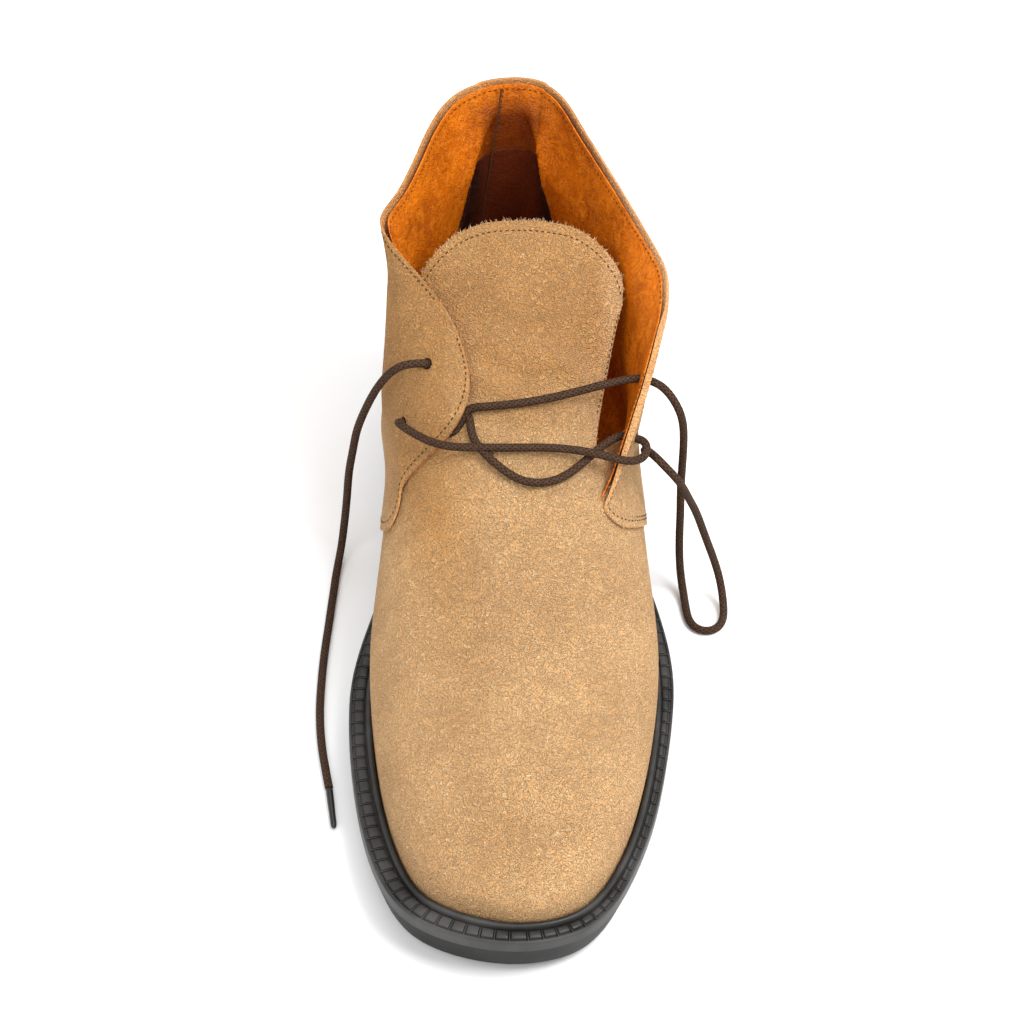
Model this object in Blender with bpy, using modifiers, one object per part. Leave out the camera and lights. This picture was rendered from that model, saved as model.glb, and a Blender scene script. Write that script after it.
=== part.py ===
# Chukka boot for the left foot, built as its maker would put it together:
# moulded outsole, storm welt, insole, one hollow suede upper, tongue and laces.
# Metres. The toe points to -Y, the boot's outer side is +X and the floor is z = 0.
import math

import bmesh
import bpy
import numpy as np
from mathutils import Matrix, Vector

# Overall sizes
LENGTH = 0.303
BALL_WIDTH = 0.1144
BACK_HEIGHT = 0.140
INSTEP_HEIGHT = 0.0885
HEEL_SEAT_HEIGHT = 0.025
TOE_SPRING = 0.006

# Leather and rubber
WALL = 0.0025
OVERLAP_STEP = 0.0013
TAB_STEP = 0.0009
TAB_WIDTH = 0.023
TONGUE_THICKNESS = 0.002
INSOLE_THICKNESS = 0.002
OUTSOLE_THICKNESS = 0.0108
WELT_WIDTH = 0.009
WELT_THICKNESS = 0.0048
GAP = 0.0003
FACET_SLACK = 0.00015

# Profile of the welt: inner rib, blocks and outer lip
RIB_WIDTH = 0.0026
RIB_RISE = 0.0016
SEAT_RISE = WELT_THICKNESS + RIB_RISE / 2
LIP_WIDTH = 0.0010
LIP_DROP = 0.0004
BLOCK_PITCH = 0.0053
NOTCH_WIDTH = 0.0008
NOTCH_DEPTH = 0.0011

# Tread under the sole
LUG_DEPTH = 0.003
LUG_GROOVE = 0.003
LUG_PITCH = 0.0125
LUG_MARGIN = 0.009
HEEL_LENGTH = 0.090
ARCH_RISE = 0.009
SIDE_DRAFT = 0.0028
EDGE_ROUND = 0.0008

# Lace and eyelets
LACE_DIAMETER = 0.0029
AGLET_DIAMETER = 0.0026
EYELET_DIAMETER = 0.0046

HALF = BALL_WIDTH / 2

# Rim of the sole from the toe round the outer side and back:
# place, across (share of half the ball width), along (share of the length),
# welt (share of the welt width that shows), swell of the upper past the welt (share of it)
RIM = (
    ("toe tip", -0.01, -0.500, 0.90, 0.05),
    ("outer toe", 0.39, -0.476, 0.84, 0.05),
    ("outer toe corner", 0.662, -0.400, 0.70, 0.08),
    ("outer forepart", 0.836, -0.305, 0.70, 0.10),
    ("outer ball front", 0.94, -0.21, 0.74, 0.12),
    ("outer ball", 1.0, -0.095, 0.84, 0.12),
    ("outer waist front", 0.935, 0.0, 0.78, 0.25),
    ("outer waist", 0.80, 0.11, 0.62, 0.68),
    ("outer heel front", 0.735, 0.22, 0.60, 0.66),
    ("outer heel", 0.715, 0.34, 0.58, 0.50),
    ("outer heel corner", 0.60, 0.43, 0.56, 0.34),
    ("outer back", 0.30, 0.488, 0.55, 0.22),
    ("heel tip", 0.035, 0.500, 0.55, 0.20),
    ("inner back", -0.23, 0.489, 0.55, 0.22),
    ("inner heel corner", -0.53, 0.43, 0.56, 0.36),
    ("inner heel", -0.645, 0.34, 0.58, 0.62),
    ("inner heel front", -0.65, 0.22, 0.60, 0.86),
    ("inner waist", -0.70, 0.10, 0.64, 1.00),
    ("inner waist front", -0.845, 0.0, 0.80, 0.62),
    ("inner ball", -0.985, -0.11, 0.94, 0.22),
    ("inner ball front", -1.0, -0.18, 0.96, 0.12),
    ("inner forepart", -0.965, -0.275, 0.98, 0.08),
    ("inner toe side", -0.87, -0.375, 1.05, 0.05),
    ("inner toe corner", -0.665, -0.4535, 1.04, 0.05),
    ("inner toe", -0.34, -0.49, 0.98, 0.05),
)

# The last, from toe to ankle: along (share of the length), ridge height (share of the
# instep height), ridge across (share of half the ball width), roundness of the section
LAST = (
    (-0.500, 0.47, -0.04, 2.25),
    (-0.400, 0.575, -0.03, 2.20),
    (-0.320, 0.625, -0.02, 2.15),
    (-0.230, 0.665, 0.00, 2.10),
    (-0.130, 0.735, 0.01, 2.05),
    (-0.060, 0.820, 0.01, 2.00),
    (0.000, 0.930, 0.01, 2.00),
    (0.060, 1.020, 0.01, 2.00),
    (0.130, 1.135, 0.02, 2.00),
    (0.200, 1.270, 0.03, 2.00),
    (0.290, 1.440, 0.06, 2.00),
)
TOE_POLE = -0.330
WIDEST_SHARE = 0.30

# Top of the outsole: along (share of the length), rise from the forepart to the heel seat
PLATFORM = (
    (-0.250, 0.00),
    (-0.060, 0.00),
    (0.040, 0.13),
    (0.160, 0.52),
    (0.280, 0.86),
    (0.380, 0.98),
    (0.500, 1.00),
)

# Quarters from the outer front edge round the heel to the inner one: place, foot on the
# sole (share of the length), then rows upward of across (share of half the ball width),
# along (share of the length) and up (share of the back height)
QUARTERS = (
    ("outer edge", 0.132, (
        (0.81, 0.079, 0.271), (0.745, -0.003, 0.437), (0.575, -0.012, 0.505), (0.597, 0.007, 0.535),
        (0.69, 0.043, 0.598), (0.83, 0.100, 0.728), (0.98, 0.188, 0.857))),
    ("outer instep", 0.178, (
        (0.83, 0.152, 0.286), (0.81, 0.106, 0.414), (0.75, 0.086, 0.511), (0.775, 0.093, 0.575),
        (0.82, 0.117, 0.655), (0.87, 0.160, 0.760), (0.94, 0.224, 0.868))),
    ("outer ankle", 0.257, (
        (0.78, 0.238, 0.314), (0.80, 0.205, 0.429), (0.79, 0.185, 0.529), (0.78, 0.185, 0.614),
        (0.80, 0.198, 0.700), (0.81, 0.224, 0.786), (0.83, 0.274, 0.889))),
    ("outer quarter", 0.347, (
        (0.71, 0.333, 0.343), (0.69, 0.314, 0.457), (0.67, 0.300, 0.564), (0.66, 0.297, 0.664),
        (0.66, 0.304, 0.750), (0.67, 0.317, 0.829), (0.69, 0.333, 0.914))),
    ("outer heel", 0.432, (
        (0.55, 0.432, 0.357), (0.52, 0.424, 0.471), (0.48, 0.417, 0.586), (0.46, 0.414, 0.693),
        (0.45, 0.414, 0.779), (0.46, 0.416, 0.864), (0.49, 0.411, 0.950))),
    ("outer back", 0.470, (
        (0.30, 0.478, 0.357), (0.30, 0.472, 0.471), (0.30, 0.464, 0.586), (0.30, 0.460, 0.694),
        (0.30, 0.459, 0.787), (0.30, 0.462, 0.881), (0.31, 0.468, 0.986))),
    ("back", 0.482, (
        (0.035, 0.490, 0.357), (0.035, 0.488, 0.471), (0.035, 0.482, 0.586), (0.035, 0.477, 0.693),
        (0.035, 0.475, 0.793), (0.035, 0.476, 0.893), (0.035, 0.483, 1.000))),
    ("inner back", 0.466, (
        (-0.27, 0.473, 0.358), (-0.27, 0.468, 0.472), (-0.27, 0.460, 0.586), (-0.27, 0.456, 0.694),
        (-0.28, 0.456, 0.787), (-0.29, 0.460, 0.880), (-0.31, 0.467, 0.984))),
    ("inner heel", 0.432, (
        (-0.49, 0.432, 0.357), (-0.48, 0.424, 0.471), (-0.46, 0.417, 0.586), (-0.45, 0.414, 0.693),
        (-0.45, 0.414, 0.779), (-0.47, 0.416, 0.864), (-0.525, 0.410, 0.950))),
    ("inner quarter", 0.347, (
        (-0.66, 0.333, 0.343), (-0.66, 0.317, 0.457), (-0.66, 0.304, 0.571), (-0.66, 0.297, 0.671),
        (-0.66, 0.304, 0.757), (-0.67, 0.317, 0.836), (-0.69, 0.330, 0.921))),
    ("inner ankle", 0.257, (
        (-0.75, 0.238, 0.329), (-0.78, 0.218, 0.429), (-0.79, 0.205, 0.529), (-0.78, 0.205, 0.629),
        (-0.77, 0.218, 0.714), (-0.76, 0.241, 0.800), (-0.81, 0.277, 0.904))),
    ("inner instep", 0.191, (
        (-0.80, 0.152, 0.307), (-0.80, 0.132, 0.400), (-0.77, 0.119, 0.479), (-0.71, 0.119, 0.575),
        (-0.63, 0.134, 0.668), (-0.56, 0.170, 0.762), (-0.63, 0.229, 0.862))),
    ("inner edge", 0.142, (
        (-0.81, 0.079, 0.271), (-0.785, 0.015, 0.385), (-0.706, 0.022, 0.452), (-0.655, 0.047, 0.502),
        (-0.392, 0.063, 0.632), (-0.277, 0.111, 0.728), (-0.41, 0.178, 0.812))),
)
THROAT = 0.060
SIDE_OVERLAP = 0.165

# Tongue: share of the length at its top, half widths as shares of half the ball width
TONGUE_TOP = 0.284
TONGUE_OUTER = 0.68
TONGUE_INNER = 0.64
TONGUE_ROOT_OUTER = 0.50
TONGUE_ROOT_INNER = 0.43
TONGUE_CORNER = 0.050
TONGUE_SAG = 0.0095
TONGUE_FLAT_FROM = 0.215


def clear_scene():
    for thing in list(bpy.data.objects):
        bpy.data.objects.remove(thing)


def spline(knots, values, at, period=0.0):
    """Cubic spline through the values, natural at its ends or closed over a period."""
    knots = np.asarray(knots, float)
    values = np.asarray(values, float)
    at = np.atleast_1d(np.asarray(at, float))
    if period:
        at = np.mod(at - knots[0], period) + knots[0]
        knots = np.concatenate([knots - period, knots, knots + period])
        values = np.concatenate([values, values, values])
    count = len(knots)
    gap = np.diff(knots)
    system = np.eye(count)
    bend = np.zeros_like(values)
    for i in range(1, count - 1):
        system[i, i - 1:i + 2] = gap[i - 1], 2 * (gap[i - 1] + gap[i]), gap[i]
        bend[i] = 6 * ((values[i + 1] - values[i]) / gap[i] - (values[i] - values[i - 1]) / gap[i - 1])
    bend = np.linalg.solve(system, bend)
    i = np.clip(np.searchsorted(knots, at, side="right") - 1, 0, count - 2)
    h = gap[i]
    a = (knots[i + 1] - at) / h
    b = 1 - a
    if values.ndim > 1:
        a, b, h = a[:, None], b[:, None], h[:, None]
    curve = a * values[i] + b * values[i + 1]
    return curve + ((a ** 3 - a) * bend[i] + (b ** 3 - b) * bend[i + 1]) * h ** 2 / 6


def smooth_step(value):
    value = np.clip(value, 0.0, 1.0)
    return value * value * (3 - 2 * value)


def ground(y):
    """Underside of the forepart: flat under the ball, rising to the toe."""
    start = -0.25 * LENGTH
    reach = LENGTH / 2 + start
    return TOE_SPRING * np.clip((start - y) / reach, 0.0, None) ** 1.8


def platform(y):
    """Top of the outsole, where the upper and the insole sit."""
    rows = np.array(PLATFORM)
    rise = spline(rows[:, 0] * LENGTH, rows[:, 1], np.clip(y, -0.25 * LENGTH, LENGTH / 2))
    level = OUTSOLE_THICKNESS + (HEEL_SEAT_HEIGHT - OUTSOLE_THICKNESS) * rise
    return level + ground(y)


def rim_samples(count=1600):
    """Rim of the sole with its outward directions, and the upper's outlines within it."""
    rows = np.array([row[1:] for row in RIM])
    points = rows[:, :2] * (HALF, LENGTH)
    steps = np.linalg.norm(np.diff(np.vstack([points, points[:1]]), axis=0), axis=1)
    knots = np.concatenate([[0], np.cumsum(steps)[:-1]])
    at = np.linspace(0, steps.sum(), count, endpoint=False)
    rim = spline(knots, points, at, steps.sum())
    shares = spline(knots, rows[:, 2:], at, steps.sum())
    along = np.roll(rim, -1, axis=0) - np.roll(rim, 1, axis=0)
    out = np.stack([along[:, 1], -along[:, 0]], axis=1)
    out /= np.linalg.norm(out, axis=1)[:, None]
    centre = (rim.max(axis=0) + rim.min(axis=0)) / 2
    rim = (rim - centre) * (HALF, LENGTH / 2) / (rim.max(axis=0) - centre)
    feather = rim - out * shares[:, :1] * WELT_WIDTH
    widest = feather + out * shares[:, 1:] * WELT_WIDTH
    return rim, out, feather, widest


RIM_POINTS, RIM_OUT, FEATHER, WIDEST = rim_samples()
HEEL_TIP = int(np.argmax(RIM_POINTS[:, 1]))
SIDES = {
    1: np.arange(0, HEEL_TIP + 1),
    -1: np.arange(len(RIM_POINTS), HEEL_TIP - 1, -1) % len(RIM_POINTS),
}


def place_at(side, y, outline):
    """Position on the rim, counted in samples from the toe tip, where an outline passes y."""
    indexes = SIDES[side]
    rows = np.maximum.accumulate(outline[indexes, 1])
    share = np.interp(y, rows, np.arange(len(indexes)))
    return share if side > 0 else len(RIM_POINTS) - share


def on_outline(outline, place):
    low = int(math.floor(place))
    share = place - low
    count = len(outline)
    return outline[low % count] * (1 - share) + outline[(low + 1) % count] * share


def last_row(y, column):
    rows = np.array(LAST)
    return spline(rows[:, 0] * LENGTH, rows[:, column], y)


def ridge_height(y):
    return last_row(y, 1) * INSTEP_HEIGHT


def ridge_across(y):
    return last_row(y, 2) * HALF


def last_column(place, climb, lift=0.0):
    """Outer face of the lasted upper above one place of the rim, from the welt (0) to the ridge (1)."""
    widest = on_outline(WIDEST, place)
    feather = on_outline(FEATHER, place)
    axis_y = max(widest[1], TOE_POLE * LENGTH)
    if widest[1] > TOE_POLE * LENGTH:
        side = 1 if place % len(RIM_POINTS) < HEEL_TIP else -1
        feather = on_outline(FEATHER, place_at(side, widest[1], FEATHER))
    axis = np.array([ridge_across(axis_y)[0], axis_y])
    reach = np.linalg.norm(widest - axis) + lift
    tuck = 1 - (np.linalg.norm(feather - axis) + lift) / reach
    roundness = last_row(axis_y, 3)[0]
    climb = np.asarray(climb, float)
    low = np.clip(climb / 0.25, 0, 1)
    turn = np.clip((climb - 0.25) / 0.75, 0, 1) * math.pi / 2
    height = WIDEST_SHARE * low + (1 - WIDEST_SHARE) * np.sin(turn) ** (2 / roundness)
    radius = np.cos(turn) ** (2 / roundness) * (1 - tuck * (1 - low) ** 2)
    plan = axis + (widest - axis) / np.linalg.norm(widest - axis) * reach * radius[:, None]
    seat = platform(plan[:, 1]) + GAP + SEAT_RISE
    top = ridge_height(plan[:, 1]) + lift
    return np.column_stack([plan, seat + (top - seat) * height])


def with_foot(column):
    """Adds the straight foot that stands inside the welt under the first point."""
    x, y, z = column[0]
    return np.vstack([[x, y, platform(y)[0] + GAP], column])


def onto_last(point, lift):
    """Nearest point of the lasted upper in the same section across the foot."""
    side = 1 if point[0] > 0 else -1
    place = place_at(side, point[1], WIDEST)
    column = last_column(place, np.linspace(0, 1, 240), lift)
    return column[np.argmin(np.linalg.norm(column[:, [0, 2]] - point[[0, 2]], axis=1))]


def quarter_net():
    """Control points of the quarters, columns by rows."""
    net = []
    for name, foot, rows in QUARTERS:
        side = -1 if name.startswith("inner") else 1
        base = on_outline(FEATHER, place_at(side, foot * LENGTH, FEATHER))
        if name == "back":
            base = FEATHER[HEEL_TIP]
        points = [[base[0], base[1], platform(base[1])[0] + GAP + SEAT_RISE]]
        points += [[x * HALF, y * LENGTH, z * BACK_HEIGHT] for x, y, z in rows]
        net.append(points)
    return np.array(net)


def quarter_surface(across, up):
    """Outer face of the quarters at column and row places of the net."""
    net = quarter_net()
    columns, rows = net.shape[:2]
    raised = np.stack([spline(np.arange(rows), column, up) for column in net])
    flat = raised.reshape(columns, -1)
    return spline(np.arange(columns), flat, across).reshape(len(across), len(up), 3)


def seat_on_vamp(grid, across, up):
    """Lays the front foot of each quarter on the vamp, one leather thickness proud of it."""
    last = len(QUARTERS) - 1
    for i, column in enumerate(across):
        from_edge = min(column, last - column)
        beside = 1 - smooth_step((from_edge - 0.5) / 1.3)
        for j, row in enumerate(up):
            weight = beside * (1 - smooth_step((row - 2.9) / 0.9))
            if weight > 0:
                target = onto_last(grid[i, j], OVERLAP_STEP)
                grid[i, j] += weight * (target - grid[i, j])
    return grid


def surface_normals(grid):
    across = np.gradient(grid, axis=0)
    up = np.gradient(grid, axis=1)
    normals = np.cross(across, up)
    return normals / np.linalg.norm(normals, axis=2)[:, :, None]


def add_collection(name):
    collection = bpy.data.collections.new(name)
    bpy.context.scene.collection.children.link(collection)
    return collection


def add_material(name, colour, roughness, metallic=0.0):
    material = bpy.data.materials.new(name)
    material.use_nodes = True
    shader = material.node_tree.nodes["Principled BSDF"]
    shader.inputs["Base Color"].default_value = (*colour, 1.0)
    shader.inputs["Roughness"].default_value = roughness
    shader.inputs["Metallic"].default_value = metallic
    return material


def add_mesh(name, points, faces, collection, material=None):
    mesh = bpy.data.meshes.new(name)
    mesh.from_pydata([tuple(point) for point in points], [], faces)
    bm = bmesh.new()
    bm.from_mesh(mesh)
    bmesh.ops.delete(bm, geom=[v for v in bm.verts if not v.link_faces], context="VERTS")
    bmesh.ops.remove_doubles(bm, verts=bm.verts, dist=0.00002)
    bmesh.ops.recalc_face_normals(bm, faces=bm.faces)
    bm.to_mesh(mesh)
    bm.free()
    mesh.shade_smooth()
    mesh.set_sharp_from_angle(angle=math.radians(35))
    thing = bpy.data.objects.new(name, mesh)
    collection.objects.link(thing)
    if material:
        mesh.materials.append(material)
    return thing


def add_cutter(name, points, faces, collection):
    cutter = add_mesh(name, points, faces, collection)
    cutter.hide_render = True
    cutter.display_type = "WIRE"
    return cutter


def grid_faces(columns, rows, closed=False):
    faces = []
    for i in range(columns if closed else columns - 1):
        after = (i + 1) % columns
        for j in range(rows - 1):
            faces.append((i * rows + j, after * rows + j, after * rows + j + 1, i * rows + j + 1))
    return faces


def add_solidify(thing, thickness):
    """Gives an open skin its leather, inward from the outer face."""
    modifier = thing.modifiers.new("leather", "SOLIDIFY")
    modifier.thickness = thickness
    modifier.offset = -1
    modifier.use_even_offset = True
    modifier.thickness_clamp = 0.9


def add_boolean(thing, other, operation, solver="EXACT"):
    modifier = thing.modifiers.new(other.name, "BOOLEAN")
    modifier.operation = operation
    modifier.solver = solver
    modifier.object = other


def outward(thing, probe):
    """Turns an open skin so that its faces look away from a point inside it."""
    bm = bmesh.new()
    bm.from_mesh(thing.data)
    lean = 0.0
    for face in bm.faces:
        centre = face.calc_center_median()
        lean += face.normal.dot(centre - type(centre)(probe)) * face.calc_area()
    if lean < 0:
        bmesh.ops.reverse_faces(bm, faces=bm.faces)
    bm.to_mesh(thing.data)
    bm.free()


def station_places(side, stations, outline):
    return [place_at(side, y, outline) for y in stations]


VAMP_ROWS = 13
VAMP_STRIPS_BEHIND = (4, 5, 6, 7, 8)


def vamp_columns():
    """Places on the rim under the vamp, and how many rows of the last each strip between them keeps."""
    throat = THROAT * LENGTH
    strips = len(VAMP_STRIPS_BEHIND)
    behind = np.linspace(SIDE_OVERLAP * LENGTH, throat, strips + 1)[:-1]
    ahead = np.linspace(throat, TOE_POLE * LENGTH, 12)
    stations = np.concatenate([behind, ahead])
    outer = station_places(1, stations, WIDEST)
    inner = station_places(-1, stations, WIDEST)
    toe = np.linspace(outer[-1], inner[-1] - len(RIM_POINTS), 20)[1:-1] % len(RIM_POINTS)
    places = outer + list(toe) + inner[::-1]
    kept = [VAMP_ROWS] * (len(places) - 1)
    kept[:strips] = VAMP_STRIPS_BEHIND
    kept[-strips:] = VAMP_STRIPS_BEHIND[::-1]
    return places, kept


def make_vamp(collection):
    places, kept = vamp_columns()
    rows = VAMP_ROWS + 1
    points = []
    for place in places:
        points.extend(with_foot(last_column(place, np.linspace(0, 1, VAMP_ROWS))))
    faces = []
    for i, strip in enumerate(kept):
        for j in range(strip):
            faces.append((i * rows + j, (i + 1) * rows + j, (i + 1) * rows + j + 1, i * rows + j + 1))
    vamp = add_mesh("upper", points, faces, collection)
    outward(vamp, (0, -0.1 * LENGTH, 0.3 * INSTEP_HEIGHT))
    add_solidify(vamp, WALL)
    return vamp


QUARTER_COLUMNS = 41
QUARTER_ROWS = (0.0, 0.8, 1.5, 2.1, 2.6, 3.0, 3.5, 4.1, 4.7, 5.3, 5.9, 6.5, 7.0)


def quarter_samples():
    """Places on the quarter net: even columns plus both edges of the heel tab."""
    last = len(QUARTERS) - 1
    across = list(np.linspace(0, last, QUARTER_COLUMNS))
    back = last / 2
    probe = quarter_surface(np.linspace(back - 1, back, 60), [4.0])[:, 0, 0]
    reach = 1 - np.interp(-(TAB_WIDTH / 2 + 0.035 * HALF), -probe, np.linspace(0, 1, 60))
    edge = 0.02
    for side in (-1, 1):
        across = [u for u in across if abs(u - (back + side * reach)) > 0.12]
        across += [back + side * (reach - edge), back + side * (reach + edge)]
    up = np.array(QUARTER_ROWS)
    return np.array(sorted(across)), up, back, reach


def make_quarters(collection):
    across, up, back, reach = quarter_samples()
    grid = seat_on_vamp(quarter_surface(across, up), across, up)
    normals = surface_normals(grid)
    if np.sum(normals[len(across) // 2, :, 1]) < 0:
        normals = -normals
    tab = np.abs(across - back) < reach
    grid[tab] += normals[tab] * TAB_STEP * smooth_step((up - 0.8) / 0.4)[None, :, None]
    points = np.concatenate([with_foot(column) for column in grid])
    quarters = add_cutter("quarters", points, grid_faces(len(across), len(up) + 1), collection)
    outward(quarters, (0, 0.3 * LENGTH, 0.5 * BACK_HEIGHT))
    add_solidify(quarters, WALL)
    return quarters


# Eyelets: side, net column from the front edge, net row
EYELETS = (
    ("outer low", 1, 0.64, 4.45),
    ("outer high", 1, 0.68, 5.55),
    ("inner low", -1, 0.76, 4.2),
    ("inner high", -1, 0.80, 5.55),
)


def eyelet_frame(side, column, row):
    """Centre of an eyelet on the quarter's outer face, and the way straight through it."""
    last = len(QUARTERS) - 1
    middle = column if side > 0 else last - column
    around = np.array([middle - 0.05, middle, middle + 0.05])
    rows = np.array([row - 0.05, row, row + 0.05])
    grid = quarter_surface(around, rows)
    return grid[1, 1], surface_normals(grid)[1, 1]


def make_punches(collection):
    punches = []
    for name, side, column, row in EYELETS:
        centre, way = eyelet_frame(side, column, row)
        bm = bmesh.new()
        bmesh.ops.create_cone(bm, cap_ends=True, segments=12, radius1=EYELET_DIAMETER / 2,
                              radius2=EYELET_DIAMETER / 2, depth=8 * WALL)
        mesh = bpy.data.meshes.new("punch " + name)
        bm.to_mesh(mesh)
        bm.free()
        punch = bpy.data.objects.new(mesh.name, mesh)
        collection.objects.link(punch)
        punch.location = centre
        punch.rotation_mode = "QUATERNION"
        punch.rotation_quaternion = Vector(way).to_track_quat("Z", "Y")
        punch.hide_render = True
        punch.display_type = "WIRE"
        punches.append(punch)
    return punches


def make_upper(parts, cutters, suede):
    upper = make_vamp(parts)
    upper.data.materials.append(suede)
    add_boolean(upper, make_quarters(cutters), "UNION", "MANIFOLD")
    for punch in make_punches(cutters):
        add_boolean(upper, punch, "DIFFERENCE", "MANIFOLD")
    return upper


def tongue_half_width(t, side):
    """Half width of the tongue on one side, at a share of the way from the throat to its top."""
    root, top = (TONGUE_ROOT_OUTER, TONGUE_OUTER) if side > 0 else (TONGUE_ROOT_INNER, TONGUE_INNER)
    return (root + (top - root) * t ** 1.5) * HALF


def tongue_surface(along, across):
    """Outer face of the tongue: it leaves the last's ridge and grows flatter to its top."""
    points = []
    for t in along:
        row = []
        for s in across:
            side = 1 if s >= 0 else -1
            top = (TONGUE_TOP - TONGUE_CORNER * abs(s) ** 4) * LENGTH
            start = THROAT * LENGTH + GAP
            y = start + (top - start) * t
            middle = ridge_across(y)[0]
            x = middle + s * tongue_half_width(t, side)
            column = last_column(place_at(side, y, WIDEST), np.linspace(0.3, 1, 120))
            order = np.argsort(column[:, 0])
            z_last = np.interp(x, column[order, 0], column[order, 2])
            z_flat = ridge_height(y)[0] - TONGUE_SAG * s * s
            flat = smooth_step((y / LENGTH - THROAT) / (TONGUE_FLAT_FROM - THROAT))
            row.append((x, y, z_last + (z_flat - z_last) * flat))
        points.append(row)
    return np.array(points)


def make_tongue(collection, suede):
    along = np.linspace(0, 1, 13)
    across = np.linspace(-1, 1, 13)
    grid = tongue_surface(along, across)
    tongue = add_mesh("tongue", grid.reshape(-1, 3), grid_faces(len(along), len(across)), collection, suede)
    outward(tongue, (0, 0.2 * LENGTH, 0))
    add_solidify(tongue, TONGUE_THICKNESS)
    return tongue


def ring_stations(count):
    """Stations from toe to heel, closer at both ends."""
    return -LENGTH / 2 * np.cos(np.linspace(0, math.pi, count))


def ring_places(count):
    """Places round the rim in mirrored pairs: toe tip, outer side, heel tip, inner side."""
    stations = ring_stations(count)
    outer = station_places(1, stations, RIM_POINTS)
    inner = station_places(-1, stations[1:-1][::-1], RIM_POINTS)
    return outer + inner


def ring(places, inset):
    """Rim outline moved inward, by one distance or by one for each place."""
    insets = np.broadcast_to(inset, (len(places),))
    points = [on_outline(RIM_POINTS, p) - on_outline(RIM_OUT, p) * d for p, d in zip(places, insets)]
    return np.array(points)


def welt_insets(places):
    """How far the upper's foot lies inside the rim at each place."""
    rim = np.array([on_outline(RIM_POINTS, p) for p in places])
    foot = np.array([on_outline(FEATHER, p) for p in places])
    return np.linalg.norm(rim - foot, axis=1)


def cap_faces(base, count, flip):
    """Faces across a ring of mirrored pairs, toe to heel."""
    half = count // 2
    faces = [(base, base + 1, base + count - 1)]
    for i in range(1, half - 1):
        faces.append((base + i, base + i + 1, base + count - i - 1, base + count - i))
    faces.append((base + half - 1, base + half, base + half + 1))
    return [face[::-1] for face in faces] if flip else faces


def stacked_rings(layers, places, heights, insets):
    """Solid between stacked rings: each layer has its inset and its height at each point."""
    points = []
    for inset, height in zip(insets, heights):
        plan = ring(places, inset)
        points.extend(np.column_stack([plan, height(plan[:, 1])]))
    count = len(places)
    faces = cap_faces(0, count, False) + cap_faces((layers - 1) * count, count, True)
    for layer in range(layers - 1):
        for i in range(count):
            after = (i + 1) % count
            low, high = layer * count, (layer + 1) * count
            faces.append((low + i, low + after, high + after, high + i))
    return points, faces


def shank(y):
    """Underside of the sole: ground under the forepart, an arch, then the heel."""
    front = -0.05 * LENGTH
    breast = LENGTH / 2 - HEEL_LENGTH
    rise = smooth_step((y - front) / (breast - front))
    return ground(y) + ARCH_RISE * rise


def make_outsole(parts, cutters, rubber):
    places = ring_places(41)

    def foot(y):
        return shank(y) + 0.12 * OUTSOLE_THICKNESS

    heights = (shank, foot, platform)
    insets = (SIDE_DRAFT + EDGE_ROUND, SIDE_DRAFT, 0.0)
    points, faces = stacked_rings(3, places, heights, insets)
    outsole = add_mesh("outsole", points, faces, parts, rubber)
    add_boolean(outsole, make_heel(cutters), "UNION")
    add_boolean(outsole, make_lug_grooves(cutters), "DIFFERENCE")
    return outsole


def make_heel(collection):
    """Heel block as a lower part of the same moulded sole."""
    breast = LENGTH / 2 - HEEL_LENGTH
    stations = breast + (LENGTH / 2 - breast) * np.sin(np.linspace(0, math.pi / 2, 14))
    outer = station_places(1, stations, RIM_POINTS)
    inner = station_places(-1, stations[:-1][::-1], RIM_POINTS)
    places = outer + inner
    count = len(places)
    points = []
    for inset, z in ((SIDE_DRAFT + 2.5 * EDGE_ROUND, 0.0), (SIDE_DRAFT + EDGE_ROUND, 1.5 * EDGE_ROUND),
                     (SIDE_DRAFT * 0.55, ARCH_RISE + 0.003)):
        plan = ring(places, inset)
        points.extend(np.column_stack([plan, np.full(count, z)]))
    half = count // 2
    faces = []
    for base, flip in ((0, False), (2 * count, True)):
        fan = [(base + i, base + i + 1, base + count - i - 2, base + count - i - 1) for i in range(half - 1)]
        fan.append((base + half - 1, base + half, base + half + 1))
        faces += [face[::-1] for face in fan] if flip else fan
    for layer in range(2):
        for i in range(count):
            after = (i + 1) % count
            low, high = layer * count, (layer + 1) * count
            faces.append((low + i, low + after, high + after, high + i))
    return add_cutter("heel block", points, faces, collection)


def make_lug_grooves(collection):
    """Grooves across the forepart and the heel, clear of the sole's edge."""
    bm = bmesh.new()
    fore = np.arange(-0.41 * LENGTH, -0.07 * LENGTH, LUG_PITCH)
    heel = np.arange(LENGTH / 2 - HEEL_LENGTH + LUG_PITCH, LENGTH / 2 - 1.2 * LUG_MARGIN, LUG_PITCH)
    for y in np.concatenate([fore, heel]):
        outer = on_outline(RIM_POINTS, place_at(1, y, RIM_POINTS))[0] - LUG_MARGIN
        inner = on_outline(RIM_POINTS, place_at(-1, y, RIM_POINTS))[0] + LUG_MARGIN
        base = float(ground(y))
        made = bmesh.ops.create_cube(bm, size=1.0)["verts"]
        bmesh.ops.scale(bm, verts=made, vec=(outer - inner, LUG_GROOVE, 2 * LUG_DEPTH))
        bmesh.ops.translate(bm, verts=made, vec=((outer + inner) / 2, y, base))
    mesh = bpy.data.meshes.new("lug grooves")
    bm.to_mesh(mesh)
    bm.free()
    grooves = bpy.data.objects.new("lug grooves", mesh)
    collection.objects.link(grooves)
    grooves.hide_render = True
    grooves.display_type = "WIRE"
    return grooves


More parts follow.
